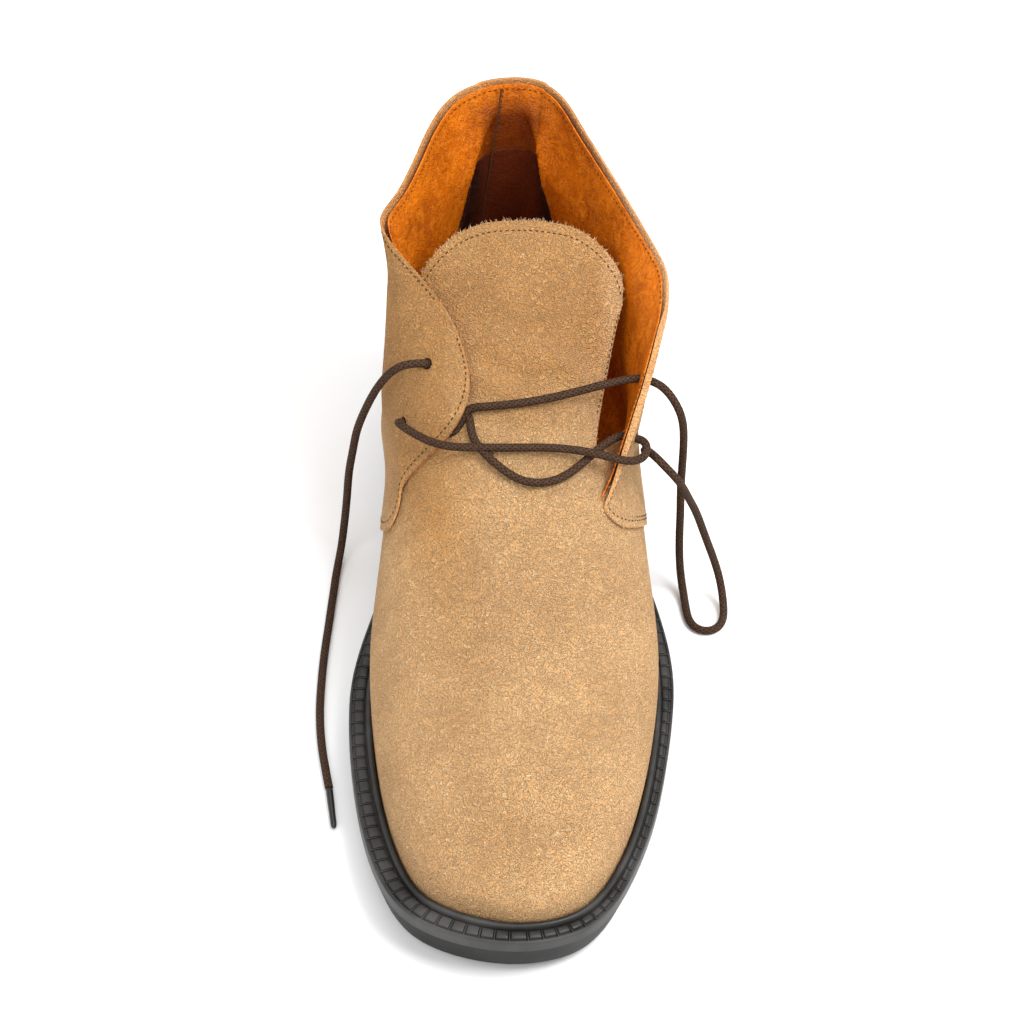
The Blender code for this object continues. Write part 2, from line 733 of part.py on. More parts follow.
def quarter_seat(y):
    """Extra room for the quarters, whose foot stands one step proud of the vamp's."""
    seam = QUARTERS[0][1] * LENGTH
    return OVERLAP_STEP * smooth_step((y - seam + 0.04 * LENGTH) / (0.03 * LENGTH))


def make_welt(parts, cutters, rubber):
    """Ring round the foot of the upper: lip, block band and inner rib."""
    places = ring_places(43)
    foot = welt_insets(places)
    rim_y = ring(places, 0.0)[:, 1]
    inner = foot - GAP - FACET_SLACK - quarter_seat(rim_y)
    band = inner - RIB_WIDTH
    base = platform(rim_y) + GAP
    top = base + WELT_THICKNESS
    profile = (
        (np.full(len(places), 0.0006), base),
        (np.zeros(len(places)), base + 0.0012),
        (np.zeros(len(places)), top - LIP_DROP),
        (np.full(len(places), LIP_WIDTH), top),
        (band, top),
        (band + 0.0006, top + RIB_RISE),
        (inner - 0.0008, top + RIB_RISE),
        (inner, top + 0.4 * RIB_RISE),
        (inner, base),
    )
    points = []
    for inset, height in profile:
        points.append(np.column_stack([ring(places, inset), height]))
    points = np.stack(points, axis=1)
    rows = len(profile)
    faces = []
    for i in range(len(places)):
        after = (i + 1) % len(places)
        for j in range(rows):
            nearby = (j + 1) % rows
            faces.append((i * rows + j, after * rows + j, after * rows + nearby, i * rows + nearby))
    welt = add_mesh("welt", points.reshape(-1, 3), faces, parts, rubber)
    add_boolean(welt, make_notches(cutters), "DIFFERENCE")
    return welt


def make_notches(collection):
    """Notches between the blocks of the welt, one pitch apart, forward of the heel."""
    steps = np.linalg.norm(np.roll(RIM_POINTS, -1, axis=0) - RIM_POINTS, axis=1)
    arc = np.concatenate([[0], np.cumsum(steps)])
    total = arc[-1]
    bm = bmesh.new()
    for k in range(int(total / BLOCK_PITCH)):
        place = float(np.interp((k + 0.5) * BLOCK_PITCH, arc, np.arange(len(arc))))
        rim = on_outline(RIM_POINTS, place)
        out = on_outline(RIM_OUT, place)
        if rim[1] > LENGTH / 2 - HEEL_LENGTH:
            continue
        foot = np.linalg.norm(rim - on_outline(FEATHER, place))
        depth = foot - GAP - FACET_SLACK - quarter_seat(rim[1])
        start = LIP_WIDTH + 0.0003
        end = depth - RIB_WIDTH - 0.0002
        middle = rim - out * (start + end) / 2
        top = float(platform(middle[1])[0]) + GAP + WELT_THICKNESS
        made = bmesh.ops.create_cube(bm, size=1.0)["verts"]
        bmesh.ops.scale(bm, verts=made, vec=(end - start, NOTCH_WIDTH, 2 * NOTCH_DEPTH))
        turn = Matrix.Rotation(math.atan2(out[1], out[0]), 3, "Z")
        bmesh.ops.rotate(bm, verts=made, cent=(0, 0, 0), matrix=turn)
        bmesh.ops.translate(bm, verts=made, vec=(middle[0], middle[1], top))
    mesh = bpy.data.meshes.new("welt notches")
    bm.to_mesh(mesh)
    bm.free()
    notches = bpy.data.objects.new("welt notches", mesh)
    collection.objects.link(notches)
    notches.hide_render = True
    notches.display_type = "WIRE"
    return notches


def make_insole(parts, leather):
    places = ring_places(33)
    inset = welt_insets(places) + WALL + 3 * GAP

    def low(y):
        return platform(y) + GAP

    def high(y):
        return platform(y) + GAP + INSOLE_THICKNESS

    points, faces = stacked_rings(2, places, (low, high), (inset, inset))
    return add_mesh("insole", points, faces, parts, leather)


# Routes of the lace, chosen by hand along the shoe
HIGH_CROSSING = (
    (-0.0151, 0.0260, 0.0923), (-0.0110, 0.0256, 0.0944), (-0.0057, 0.0252, 0.0954),
    (0.0071, 0.0265, 0.0964), (0.0190, 0.0296, 0.0968), (0.0300, 0.0324, 0.0980),
    (0.0380, 0.0344, 0.0986), (0.0447, 0.0357, 0.0980),
)
LOW_CROSSING = (
    (-0.0151, 0.0256, 0.0921), (-0.0147, 0.0205, 0.0910), (-0.0129, 0.0139, 0.0887),
    (-0.0078, 0.0070, 0.0869), (-0.0024, 0.0024, 0.0855), (0.0038, -0.0004, 0.0842),
    (0.0102, -0.0003, 0.0836), (0.0160, 0.0022, 0.0833), (0.0220, 0.0070, 0.0836),
    (0.0290, 0.0143, 0.0844), (0.0343, 0.0196, 0.0841), (0.0386, 0.0224, 0.0832),
    (0.0430, 0.0219, 0.0825), (0.0457, 0.0206, 0.0822), (0.0466, 0.0175, 0.0818),
    (0.0455, 0.0141, 0.0817), (0.0430, 0.0116, 0.0823), (0.0395, 0.0102, 0.0834),
    (0.0330, 0.0100, 0.0856), (0.0260, 0.0106, 0.0872), (0.0150, 0.0110, 0.0888),
    (0.0048, 0.0106, 0.0896), (-0.0060, 0.0108, 0.0893), (-0.0150, 0.0118, 0.0884),
    (-0.0225, 0.0134, 0.0873), (-0.0290, 0.0168, 0.0862), (-0.0340, 0.0210, 0.0853),
    (-0.0377, 0.0249, 0.0846), (-0.0398, 0.0284, 0.0834), (-0.0397, 0.0301, 0.0820),
)
INNER_END = (
    (-0.0300, 0.0412, 0.0998), (-0.0325, 0.0396, 0.1018), (-0.0356, 0.0389, 0.1023),
    (-0.0389, 0.0391, 0.1012), (-0.0424, 0.0393, 0.0980), (-0.0459, 0.0392, 0.0928),
    (-0.0496, 0.0391, 0.0845), (-0.0521, 0.0401, 0.0760), (-0.0543, 0.0409, 0.0670),
    (-0.0557, 0.0412, 0.0565), (-0.0570, 0.0418, 0.0455), (-0.0576, 0.0423, 0.0345),
    (-0.0582, 0.0427, 0.0235), (-0.0590, 0.0420, 0.0135), (-0.0600, 0.0396, 0.0055),
    (-0.0612, 0.0345, 0.0019), (-0.0625, 0.0235, 0.0016), (-0.0636, 0.0137, 0.0016),
    (-0.0646, 0.0041, 0.0016), (-0.0657, -0.0054, 0.0016), (-0.0665, -0.0149, 0.0016),
    (-0.0671, -0.0243, 0.0016), (-0.0674, -0.0336, 0.0016), (-0.0672, -0.0428, 0.0016),
    (-0.0665, -0.0519, 0.0016), (-0.0653, -0.0610, 0.0016), (-0.0641, -0.0691, 0.0016),
)
INNER_TIP = ((-0.0640, -0.0697, 0.0016), (-0.0624, -0.0863, 0.0016))
OUTER_LOOP = (
    (0.0463, 0.0355, 0.0979), (0.0497, 0.0348, 0.0975), (0.0533, 0.0331, 0.0956),
    (0.0566, 0.0315, 0.0912),
    (0.0590, 0.0306, 0.0860), (0.0605, 0.0303, 0.0780), (0.0610, 0.0301, 0.0680),
    (0.0611, 0.0299, 0.0580), (0.0613, 0.0296, 0.0480), (0.0618, 0.0292, 0.0380),
    (0.0621, 0.0287, 0.0280), (0.0625, 0.0276, 0.0185), (0.0633, 0.0258, 0.0095),
    (0.0643, 0.0222, 0.0036), (0.0651, 0.0158, 0.0017), (0.0656, 0.0096, 0.0016),
    (0.0673, 0.0053, 0.0016), (0.0721, 0.0029, 0.0016), (0.0769, 0.0053, 0.0016),
    (0.0787, 0.0100, 0.0016), (0.0788, 0.0156, 0.0032), (0.0778, 0.0208, 0.0080),
    (0.0748, 0.0236, 0.0180), (0.0710, 0.0238, 0.0297),
    (0.0666, 0.0225, 0.0442), (0.0623, 0.0183, 0.0574), (0.0585, 0.0148, 0.0682),
    (0.0552, 0.0143, 0.0735), (0.0518, 0.0163, 0.0764), (0.0488, 0.0204, 0.0766),
    (0.0473, 0.0248, 0.0736), (0.0473, 0.0293, 0.0689), (0.0477, 0.0341, 0.0638),
)
OUTER_TIP = ((0.0478, 0.0347, 0.0632), (0.0492, 0.0459, 0.0512))
POINT_SPACING = 2.9 * LACE_DIAMETER
CROSSING_SPACING = 2.1 * LACE_DIAMETER


def smooth_route(route, spacing):
    """Points at an even spacing along a smooth curve through a route, kept on the floor."""
    route = np.array(route)
    knots = np.concatenate([[0], np.cumsum(np.linalg.norm(np.diff(route, axis=0), axis=1))])
    count = max(2, int(round(knots[-1] / spacing)) + 1)
    points = spline(knots, route, np.linspace(0, knots[-1], count))
    points[:, 2] = np.maximum(points[:, 2], (LACE_DIAMETER + GAP) / 2)
    return points


def add_tube(name, route, diameter, spacing, collection, material=None):
    data = bpy.data.curves.new(name, "CURVE")
    data.dimensions = "3D"
    data.bevel_depth = diameter / 2
    data.bevel_resolution = 2
    data.use_fill_caps = True
    points = smooth_route(route, spacing)
    line = data.splines.new("POLY")
    line.points.add(len(points) - 1)
    for made, point in zip(line.points, points):
        made.co = (*point, 1.0)
    tube = bpy.data.objects.new(name, data)
    collection.objects.link(tube)
    if material:
        data.materials.append(material)
    return tube


def tube_to_mesh(tube, collection):
    """Closed mesh in place of a curve, so that it can be joined to another."""
    graph = bpy.context.evaluated_depsgraph_get()
    mesh = bpy.data.meshes.new_from_object(tube.evaluated_get(graph))
    bm = bmesh.new()
    bm.from_mesh(mesh)
    bmesh.ops.remove_doubles(bm, verts=bm.verts, dist=0.00001)
    bm.to_mesh(mesh)
    bm.free()
    solid = bpy.data.objects.new(tube.name, mesh)
    solid.matrix_world = tube.matrix_world
    collection.objects.link(solid)
    bpy.data.objects.remove(tube)
    return solid


def make_crossings(parts, cutters, cord):
    """The strands between the facings, joined where they meet."""
    low = add_tube("lace_crossings", LOW_CROSSING, LACE_DIAMETER, CROSSING_SPACING, parts)
    crossings = tube_to_mesh(low, parts)
    crossings.name = "lace_crossings"
    crossings.data.materials.append(cord)
    high = add_tube("high crossing", HIGH_CROSSING, LACE_DIAMETER, CROSSING_SPACING, cutters)
    strand = tube_to_mesh(high, cutters)
    strand.hide_render = True
    strand.display_type = "WIRE"
    add_boolean(crossings, strand, "UNION")


def make_ends(parts, cord, tip):
    add_tube("lace_end_inner", INNER_END, LACE_DIAMETER, POINT_SPACING, parts, cord)
    add_tube("aglet_inner", INNER_TIP, AGLET_DIAMETER, 1.0, parts, tip)
    add_tube("lace_loop_outer", OUTER_LOOP, LACE_DIAMETER, POINT_SPACING, parts, cord)
    add_tube("aglet_outer", OUTER_TIP, AGLET_DIAMETER, 1.0, parts, tip)


def main():
    clear_scene()
    parts = add_collection("chukka boot")
    cutters = add_collection("cutters and guides")
    suede = add_material("tan suede", (0.60, 0.40, 0.21), 0.95)
    rubber = add_material("black rubber", (0.03, 0.03, 0.03), 0.55)
    saddle = add_material("saddle leather", (0.62, 0.22, 0.05), 0.5)
    cord = add_material("brown waxed cord", (0.06, 0.035, 0.025), 0.6)
    tip = add_material("brown plastic tip", (0.04, 0.025, 0.02), 0.35)
    make_outsole(parts, cutters, rubber)
    make_welt(parts, cutters, rubber)
    make_insole(parts, saddle)
    make_upper(parts, cutters, suede)
    make_tongue(parts, suede)
    make_crossings(parts, cutters, cord)
    make_ends(parts, cord, tip)


main()
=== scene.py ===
# Dressed chukka boot for the left foot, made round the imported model.
# Metres. The toe points to -Y, the boot's outer side is +X and the floor is z = 0.
import math
from contextlib import contextmanager

import bmesh
import bpy
import numpy as np
from mathutils import Matrix, Vector, noise


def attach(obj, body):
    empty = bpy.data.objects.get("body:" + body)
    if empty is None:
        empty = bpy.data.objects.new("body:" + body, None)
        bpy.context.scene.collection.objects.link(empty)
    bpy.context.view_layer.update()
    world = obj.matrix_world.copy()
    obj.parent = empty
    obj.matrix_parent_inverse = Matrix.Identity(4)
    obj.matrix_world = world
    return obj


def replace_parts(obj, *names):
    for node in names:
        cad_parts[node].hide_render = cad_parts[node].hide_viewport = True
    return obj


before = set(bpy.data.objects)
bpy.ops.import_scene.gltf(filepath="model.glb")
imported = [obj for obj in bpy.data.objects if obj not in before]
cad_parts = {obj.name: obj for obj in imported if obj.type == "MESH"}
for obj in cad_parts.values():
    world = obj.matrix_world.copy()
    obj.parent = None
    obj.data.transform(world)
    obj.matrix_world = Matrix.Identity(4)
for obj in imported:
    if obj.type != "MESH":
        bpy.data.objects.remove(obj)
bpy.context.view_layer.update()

# Overall sizes, as in the solids
LENGTH = 0.303
BALL_WIDTH = 0.1144
BACK_HEIGHT = 0.140
INSTEP_HEIGHT = 0.0885
HEEL_SEAT_HEIGHT = 0.025
TOE_SPRING = 0.006
HALF = BALL_WIDTH / 2

# Leather and rubber
WALL = 0.0032
SUEDE = 0.0026
LINING = 0.0005
OVERLAP_STEP = 0.0013
TAB_STEP = 0.0009
TAB_WIDTH = 0.023
TONGUE_THICKNESS = 0.002
OUTSOLE_THICKNESS = 0.0108
WELT_WIDTH = 0.009
WELT_THICKNESS = 0.0048
GAP = 0.0003
FACET_SLACK = 0.00015

# Profile of the welt: inner rib, blocks, outer lip, and the gutter beside it, as deep as it is wide
RIB_WIDTH = 0.0026
RIB_RISE = 0.0016
SEAT_RISE = WELT_THICKNESS + RIB_RISE / 2
LIP_WIDTH = 0.0010
LIP_DROP = 0.0004
BLOCK_PITCH = 0.0053
GUTTER = 0.0009

# Tread and side of the sole
LUG_DEPTH = 0.003
LUG_GROOVE = 0.003
LUG_PITCH = 0.0125
LUG_MARGIN = 0.009
HEEL_LENGTH = 0.090
ARCH_RISE = 0.009
SIDE_DRAFT = 0.0028

# Lace
LACE_DIAMETER = 0.0029
AGLET_DIAMETER = 0.0026
HOLE_RADIUS = 0.0021

# Rim of the sole from the toe round the outer side and back:
# place, across (share of half the ball width), along (share of the length),
# welt (share of the welt width that shows), swell of the upper past the welt (share of it)
RIM = (
    ("toe tip", -0.01, -0.500, 0.90, 0.05),
    ("outer toe", 0.39, -0.476, 0.84, 0.05),
    ("outer toe corner", 0.662, -0.400, 0.70, 0.08),
    ("outer forepart", 0.836, -0.305, 0.70, 0.10),
    ("outer ball front", 0.94, -0.21, 0.74, 0.12),
    ("outer ball", 1.0, -0.095, 0.84, 0.12),
    ("outer waist front", 0.935, 0.0, 0.78, 0.25),
    ("outer waist", 0.80, 0.11, 0.62, 0.68),
    ("outer heel front", 0.735, 0.22, 0.60, 0.66),
    ("outer heel", 0.715, 0.34, 0.58, 0.50),
    ("outer heel corner", 0.60, 0.43, 0.56, 0.34),
    ("outer back", 0.30, 0.488, 0.55, 0.22),
    ("heel tip", 0.035, 0.500, 0.55, 0.20),
    ("inner back", -0.23, 0.489, 0.55, 0.22),
    ("inner heel corner", -0.53, 0.43, 0.56, 0.36),
    ("inner heel", -0.645, 0.34, 0.58, 0.62),
    ("inner heel front", -0.65, 0.22, 0.60, 0.86),
    ("inner waist", -0.70, 0.10, 0.64, 1.00),
    ("inner waist front", -0.845, 0.0, 0.80, 0.62),
    ("inner ball", -0.985, -0.11, 0.94, 0.22),
    ("inner ball front", -1.0, -0.18, 0.96, 0.12),
    ("inner forepart", -0.965, -0.275, 0.98, 0.08),
    ("inner toe side", -0.87, -0.375, 1.05, 0.05),
    ("inner toe corner", -0.665, -0.4535, 1.04, 0.05),
    ("inner toe", -0.34, -0.49, 0.98, 0.05),
)

# The last, from toe to ankle: along (share of the length), ridge height (share of the
# instep height), ridge across (share of half the ball width), roundness of the section
LAST = (
    (-0.500, 0.47, -0.04, 2.25),
    (-0.400, 0.575, -0.03, 2.20),
    (-0.320, 0.625, -0.02, 2.15),
    (-0.230, 0.665, 0.00, 2.10),
    (-0.130, 0.735, 0.01, 2.05),
    (-0.060, 0.820, 0.01, 2.00),
    (0.000, 0.930, 0.01, 2.00),
    (0.060, 1.020, 0.01, 2.00),
    (0.130, 1.135, 0.02, 2.00),
    (0.200, 1.270, 0.03, 2.00),
    (0.290, 1.440, 0.06, 2.00),
)
TOE_POLE = -0.330
WIDEST_SHARE = 0.30
WIDEST_CLIMB = 0.25

# Top of the outsole: along (share of the length), rise from the forepart to the heel seat
PLATFORM = (
    (-0.250, 0.00),
    (-0.060, 0.00),
    (0.040, 0.13),
    (0.160, 0.52),
    (0.280, 0.86),
    (0.380, 0.98),
    (0.500, 1.00),
)

# Quarters from the outer front edge round the heel to the inner one: place, foot on the
# sole (share of the length), then rows upward of across (share of half the ball width),
# along (share of the length) and up (share of the back height)
QUARTERS = (
    ("outer edge", 0.132, (
        (0.81, 0.079, 0.271), (0.745, -0.003, 0.437), (0.575, -0.012, 0.505), (0.597, 0.007, 0.535),
        (0.69, 0.043, 0.598), (0.83, 0.100, 0.728), (0.98, 0.188, 0.857))),
    ("outer instep", 0.178, (
        (0.83, 0.152, 0.286), (0.81, 0.106, 0.414), (0.75, 0.086, 0.511), (0.775, 0.093, 0.575),
        (0.82, 0.117, 0.655), (0.87, 0.160, 0.760), (0.94, 0.224, 0.868))),
    ("outer ankle", 0.257, (
        (0.78, 0.238, 0.314), (0.80, 0.205, 0.429), (0.79, 0.185, 0.529), (0.78, 0.185, 0.614),
        (0.80, 0.198, 0.700), (0.81, 0.224, 0.786), (0.83, 0.274, 0.889))),
    ("outer quarter", 0.347, (
        (0.71, 0.333, 0.343), (0.69, 0.314, 0.457), (0.67, 0.300, 0.564), (0.66, 0.297, 0.664),
        (0.66, 0.304, 0.750), (0.67, 0.317, 0.829), (0.69, 0.333, 0.914))),
    ("outer heel", 0.432, (
        (0.55, 0.432, 0.357), (0.52, 0.424, 0.471), (0.48, 0.417, 0.586), (0.46, 0.414, 0.693),
        (0.45, 0.414, 0.779), (0.46, 0.416, 0.864), (0.49, 0.411, 0.950))),
    ("outer back", 0.470, (
        (0.30, 0.478, 0.357), (0.30, 0.472, 0.471), (0.30, 0.464, 0.586), (0.30, 0.460, 0.694),
        (0.30, 0.459, 0.787), (0.30, 0.462, 0.881), (0.31, 0.468, 0.986))),
    ("back", 0.482, (
        (0.035, 0.490, 0.357), (0.035, 0.488, 0.471), (0.035, 0.482, 0.586), (0.035, 0.477, 0.693),
        (0.035, 0.475, 0.793), (0.035, 0.476, 0.893), (0.035, 0.483, 1.000))),
    ("inner back", 0.466, (
        (-0.27, 0.473, 0.358), (-0.27, 0.468, 0.472), (-0.27, 0.460, 0.586), (-0.27, 0.456, 0.694),
        (-0.28, 0.456, 0.787), (-0.29, 0.460, 0.880), (-0.31, 0.467, 0.984))),
    ("inner heel", 0.432, (
        (-0.49, 0.432, 0.357), (-0.48, 0.424, 0.471), (-0.46, 0.417, 0.586), (-0.45, 0.414, 0.693),
        (-0.45, 0.414, 0.779), (-0.47, 0.416, 0.864), (-0.525, 0.410, 0.950))),
    ("inner quarter", 0.347, (
        (-0.66, 0.333, 0.343), (-0.66, 0.317, 0.457), (-0.66, 0.304, 0.571), (-0.66, 0.297, 0.671),
        (-0.66, 0.304, 0.757), (-0.67, 0.317, 0.836), (-0.69, 0.330, 0.921))),
    ("inner ankle", 0.257, (
        (-0.75, 0.238, 0.329), (-0.78, 0.218, 0.429), (-0.79, 0.205, 0.529), (-0.78, 0.205, 0.629),
        (-0.77, 0.218, 0.714), (-0.76, 0.241, 0.800), (-0.81, 0.277, 0.904))),
    ("inner instep", 0.191, (
        (-0.80, 0.152, 0.307), (-0.80, 0.132, 0.400), (-0.77, 0.119, 0.479), (-0.71, 0.119, 0.575),
        (-0.63, 0.134, 0.668), (-0.56, 0.170, 0.762), (-0.63, 0.229, 0.862))),
    ("inner edge", 0.142, (
        (-0.81, 0.079, 0.271), (-0.785, 0.015, 0.385), (-0.706, 0.022, 0.452), (-0.655, 0.047, 0.502),
        (-0.392, 0.063, 0.632), (-0.277, 0.111, 0.728), (-0.41, 0.178, 0.812))),
)

# Where the tongue leaves the vamp, as a share of the length
THROAT = 0.060

# Creases of the vamp and tongue: start and end (across as a share of half the ball
# width, along as a share of the length), half width and height in metres
CREASES = (
    ((-0.32, 0.132), (0.02, 0.096), 0.0026, 0.0019),
    ((-0.24, 0.148), (0.14, 0.114), 0.0030, -0.0019),
    ((0.06, 0.150), (0.50, 0.124), 0.0044, 0.0016),
    ((0.14, 0.126), (0.56, 0.106), 0.0038, -0.0017),
    ((0.34, 0.184), (0.56, 0.146), 0.0050, -0.0018),
    ((-0.34, 0.205), (-0.05, 0.176), 0.0065, -0.0016),
    ((-0.04, 0.068), (0.17, 0.060), 0.0022, -0.0011),
    ((-0.02, 0.082), (0.19, 0.074), 0.0020, 0.0008),
    ((0.22, 0.068), (0.46, 0.074), 0.0026, -0.0010),
    ((-0.28, 0.020), (0.34, 0.022), 0.0040, -0.0008),
    ((-0.42, -0.252), (0.30, -0.266), 0.0016, -0.00040),
    ((-0.30, -0.268), (0.42, -0.278), 0.0016, -0.00034),
    ((-0.56, -0.060), (-0.20, -0.092), 0.0080, -0.0010),
    ((0.24, -0.070), (0.56, -0.130), 0.0080, -0.0009),
)

# Slow unevenness of the hide on vamp and tongue: height and length of the waves in metres
UNEVEN = (
    (0.00040, 0.012),
    (0.00016, 0.0045),
)

# Tongue: share of the length at its top, half widths as shares of half the ball width
TONGUE_TOP = 0.284
TONGUE_OUTER = 0.68
TONGUE_INNER = 0.64
TONGUE_ROOT_OUTER = 0.50
TONGUE_ROOT_INNER = 0.43
TONGUE_CORNER = 0.050
TONGUE_SAG = 0.0095
TONGUE_FLAT_FROM = 0.215


# Lines and grids
def spline(knots, values, at, period=0.0):
    """Cubic spline through the values, natural at its ends or closed over a period."""
    knots = np.asarray(knots, float)
    values = np.asarray(values, float)
    at = np.atleast_1d(np.asarray(at, float))
    if period:
        at = np.mod(at - knots[0], period) + knots[0]
        knots = np.concatenate([knots - period, knots, knots + period])
        values = np.concatenate([values, values, values])
    count = len(knots)
    gap = np.diff(knots)
    system = np.eye(count)
    bend = np.zeros_like(values)
    for i in range(1, count - 1):
        system[i, i - 1:i + 2] = gap[i - 1], 2 * (gap[i - 1] + gap[i]), gap[i]
        bend[i] = 6 * ((values[i + 1] - values[i]) / gap[i] - (values[i] - values[i - 1]) / gap[i - 1])
    bend = np.linalg.solve(system, bend)
    i = np.clip(np.searchsorted(knots, at, side="right") - 1, 0, count - 2)
    h = gap[i]
    a = (knots[i + 1] - at) / h
    b = 1 - a
    if values.ndim > 1:
        a, b, h = a[:, None], b[:, None], h[:, None]
    curve = a * values[i] + b * values[i + 1]
    return curve + ((a ** 3 - a) * bend[i] + (b ** 3 - b) * bend[i + 1]) * h ** 2 / 6


def upsample(grid, across, up):
    """Finer grid on the smooth surface through a coarse one; places are counted in coarse cells."""
    columns, rows = grid.shape[:2]
    raised = np.stack([spline(np.arange(rows), column, up) for column in grid])
    flat = raised.reshape(columns, -1)
    return spline(np.arange(columns), flat, across).reshape(len(across), len(up), 3)


def arc_lengths(line):
    """Distance along a polyline at each of its points."""
    return np.concatenate([[0], np.cumsum(np.linalg.norm(np.diff(line, axis=0), axis=1))])


def along_line(line, length, at):
    """Rows of a line at distances along it."""
    return np.stack([np.interp(at, length, line[:, k]) for k in range(3)], axis=-1)


def smooth_step(value):
    """Eases from 0 to 1 as a value goes from 0 to 1."""
    value = np.clip(value, 0.0, 1.0)
    return value * value * (3 - 2 * value)


def unit(rows):
    return rows / np.maximum(np.linalg.norm(rows, axis=-1, keepdims=True), 1e-9)


# Sole, last, quarters and tongue as surfaces
def ground(y):
    """Underside of the forepart: flat under the ball, rising to the toe."""
    start = -0.25 * LENGTH
    reach = LENGTH / 2 + start
    return TOE_SPRING * np.clip((start - y) / reach, 0.0, None) ** 1.8


def platform(y):
    """Top of the outsole, where the upper and the insole sit."""
    rows = np.array(PLATFORM)
    rise = spline(rows[:, 0] * LENGTH, rows[:, 1], np.clip(y, -0.25 * LENGTH, LENGTH / 2))
    level = OUTSOLE_THICKNESS + (HEEL_SEAT_HEIGHT - OUTSOLE_THICKNESS) * rise
    return level + ground(y)


def rim_samples(count=1600):
    """Rim of the sole with its outward directions, and the upper's outlines within it."""
    rows = np.array([row[1:] for row in RIM])
    points = rows[:, :2] * (HALF, LENGTH)
    steps = np.linalg.norm(np.diff(np.vstack([points, points[:1]]), axis=0), axis=1)
    knots = np.concatenate([[0], np.cumsum(steps)[:-1]])
    at = np.linspace(0, steps.sum(), count, endpoint=False)
    rim = spline(knots, points, at, steps.sum())
    shares = spline(knots, rows[:, 2:], at, steps.sum())
    along = np.roll(rim, -1, axis=0) - np.roll(rim, 1, axis=0)
    out = np.stack([along[:, 1], -along[:, 0]], axis=1)
    out /= np.linalg.norm(out, axis=1)[:, None]
    centre = (rim.max(axis=0) + rim.min(axis=0)) / 2
    rim = (rim - centre) * (HALF, LENGTH / 2) / (rim.max(axis=0) - centre)
    feather = rim - out * shares[:, :1] * WELT_WIDTH
    widest = feather + out * shares[:, 1:] * WELT_WIDTH
    return rim, out, feather, widest


RIM_POINTS, RIM_OUT, FEATHER, WIDEST = rim_samples()
HEEL_TIP = int(np.argmax(RIM_POINTS[:, 1]))
SIDES = {
    1: np.arange(0, HEEL_TIP + 1),
    -1: np.arange(len(RIM_POINTS), HEEL_TIP - 1, -1) % len(RIM_POINTS),
}


def place_at(side, y, outline):
    """Position on the rim, counted in samples from the toe tip, where an outline passes y."""
    indexes = SIDES[side]
    rows = np.maximum.accumulate(outline[indexes, 1])
    share = np.interp(y, rows, np.arange(len(indexes)))
    return share if side > 0 else len(RIM_POINTS) - share


def on_outline(outline, place):
    """Point of an outline at a place between its samples."""
    low = int(math.floor(place))
    share = place - low
    count = len(outline)
    return outline[low % count] * (1 - share) + outline[(low + 1) % count] * share


def last_row(y, column):
    """One measure of the last at each y."""
    rows = np.array(LAST)
    return spline(rows[:, 0] * LENGTH, rows[:, column], y)


def ridge_height(y):
    return last_row(y, 1) * INSTEP_HEIGHT


def ridge_across(y):
    return last_row(y, 2) * HALF


def last_column(place, climb, lift=0.0):
    """Outer face of the lasted upper above one place of the rim, from the welt (0) to the ridge (1)."""
    widest = on_outline(WIDEST, place)
    feather = on_outline(FEATHER, place)
    axis_y = max(widest[1], TOE_POLE * LENGTH)
    if widest[1] > TOE_POLE * LENGTH:
        side = 1 if place % len(RIM_POINTS) < HEEL_TIP else -1
        feather = on_outline(FEATHER, place_at(side, widest[1], FEATHER))
    axis = np.array([ridge_across(axis_y)[0], axis_y])
    reach = np.linalg.norm(widest - axis) + lift
    tuck = 1 - (np.linalg.norm(feather - axis) + lift) / reach
    roundness = last_row(axis_y, 3)[0]
    climb = np.asarray(climb, float)
    low = np.clip(climb / WIDEST_CLIMB, 0, 1)
    turn = np.clip((climb - WIDEST_CLIMB) / (1 - WIDEST_CLIMB), 0, 1) * math.pi / 2
    height = WIDEST_SHARE * low + (1 - WIDEST_SHARE) * np.sin(turn) ** (2 / roundness)
    radius = np.cos(turn) ** (2 / roundness) * (1 - tuck * (1 - low) ** 2)
    plan = axis + (widest - axis) / np.linalg.norm(widest - axis) * reach * radius[:, None]
    seat = platform(plan[:, 1]) + GAP + SEAT_RISE
    top = ridge_height(plan[:, 1]) + lift
    return np.column_stack([plan, seat + (top - seat) * height])


def onto_last(point, lift):
    """Nearest point of the lasted upper in the same section across the foot."""
    side = 1 if point[0] > 0 else -1
    place = place_at(side, point[1], WIDEST)
    column = last_column(place, np.linspace(0, 1, 240), lift)
    return column[np.argmin(np.linalg.norm(column[:, [0, 2]] - point[[0, 2]], axis=1))]


def quarter_net():
    """Control points of the quarters, columns by rows."""
    net = []
    for name, foot, rows in QUARTERS:
        side = -1 if name.startswith("inner") else 1
        base = on_outline(FEATHER, place_at(side, foot * LENGTH, FEATHER))
        if name == "back":
            base = FEATHER[HEEL_TIP]
        points = [[base[0], base[1], platform(base[1])[0] + GAP + SEAT_RISE]]
        points += [[x * HALF, y * LENGTH, z * BACK_HEIGHT] for x, y, z in rows]
        net.append(points)
    return np.array(net)


def quarter_surface(across, up):
    """Outer face of the quarters at column and row places of the net."""
    return upsample(quarter_net(), across, up)


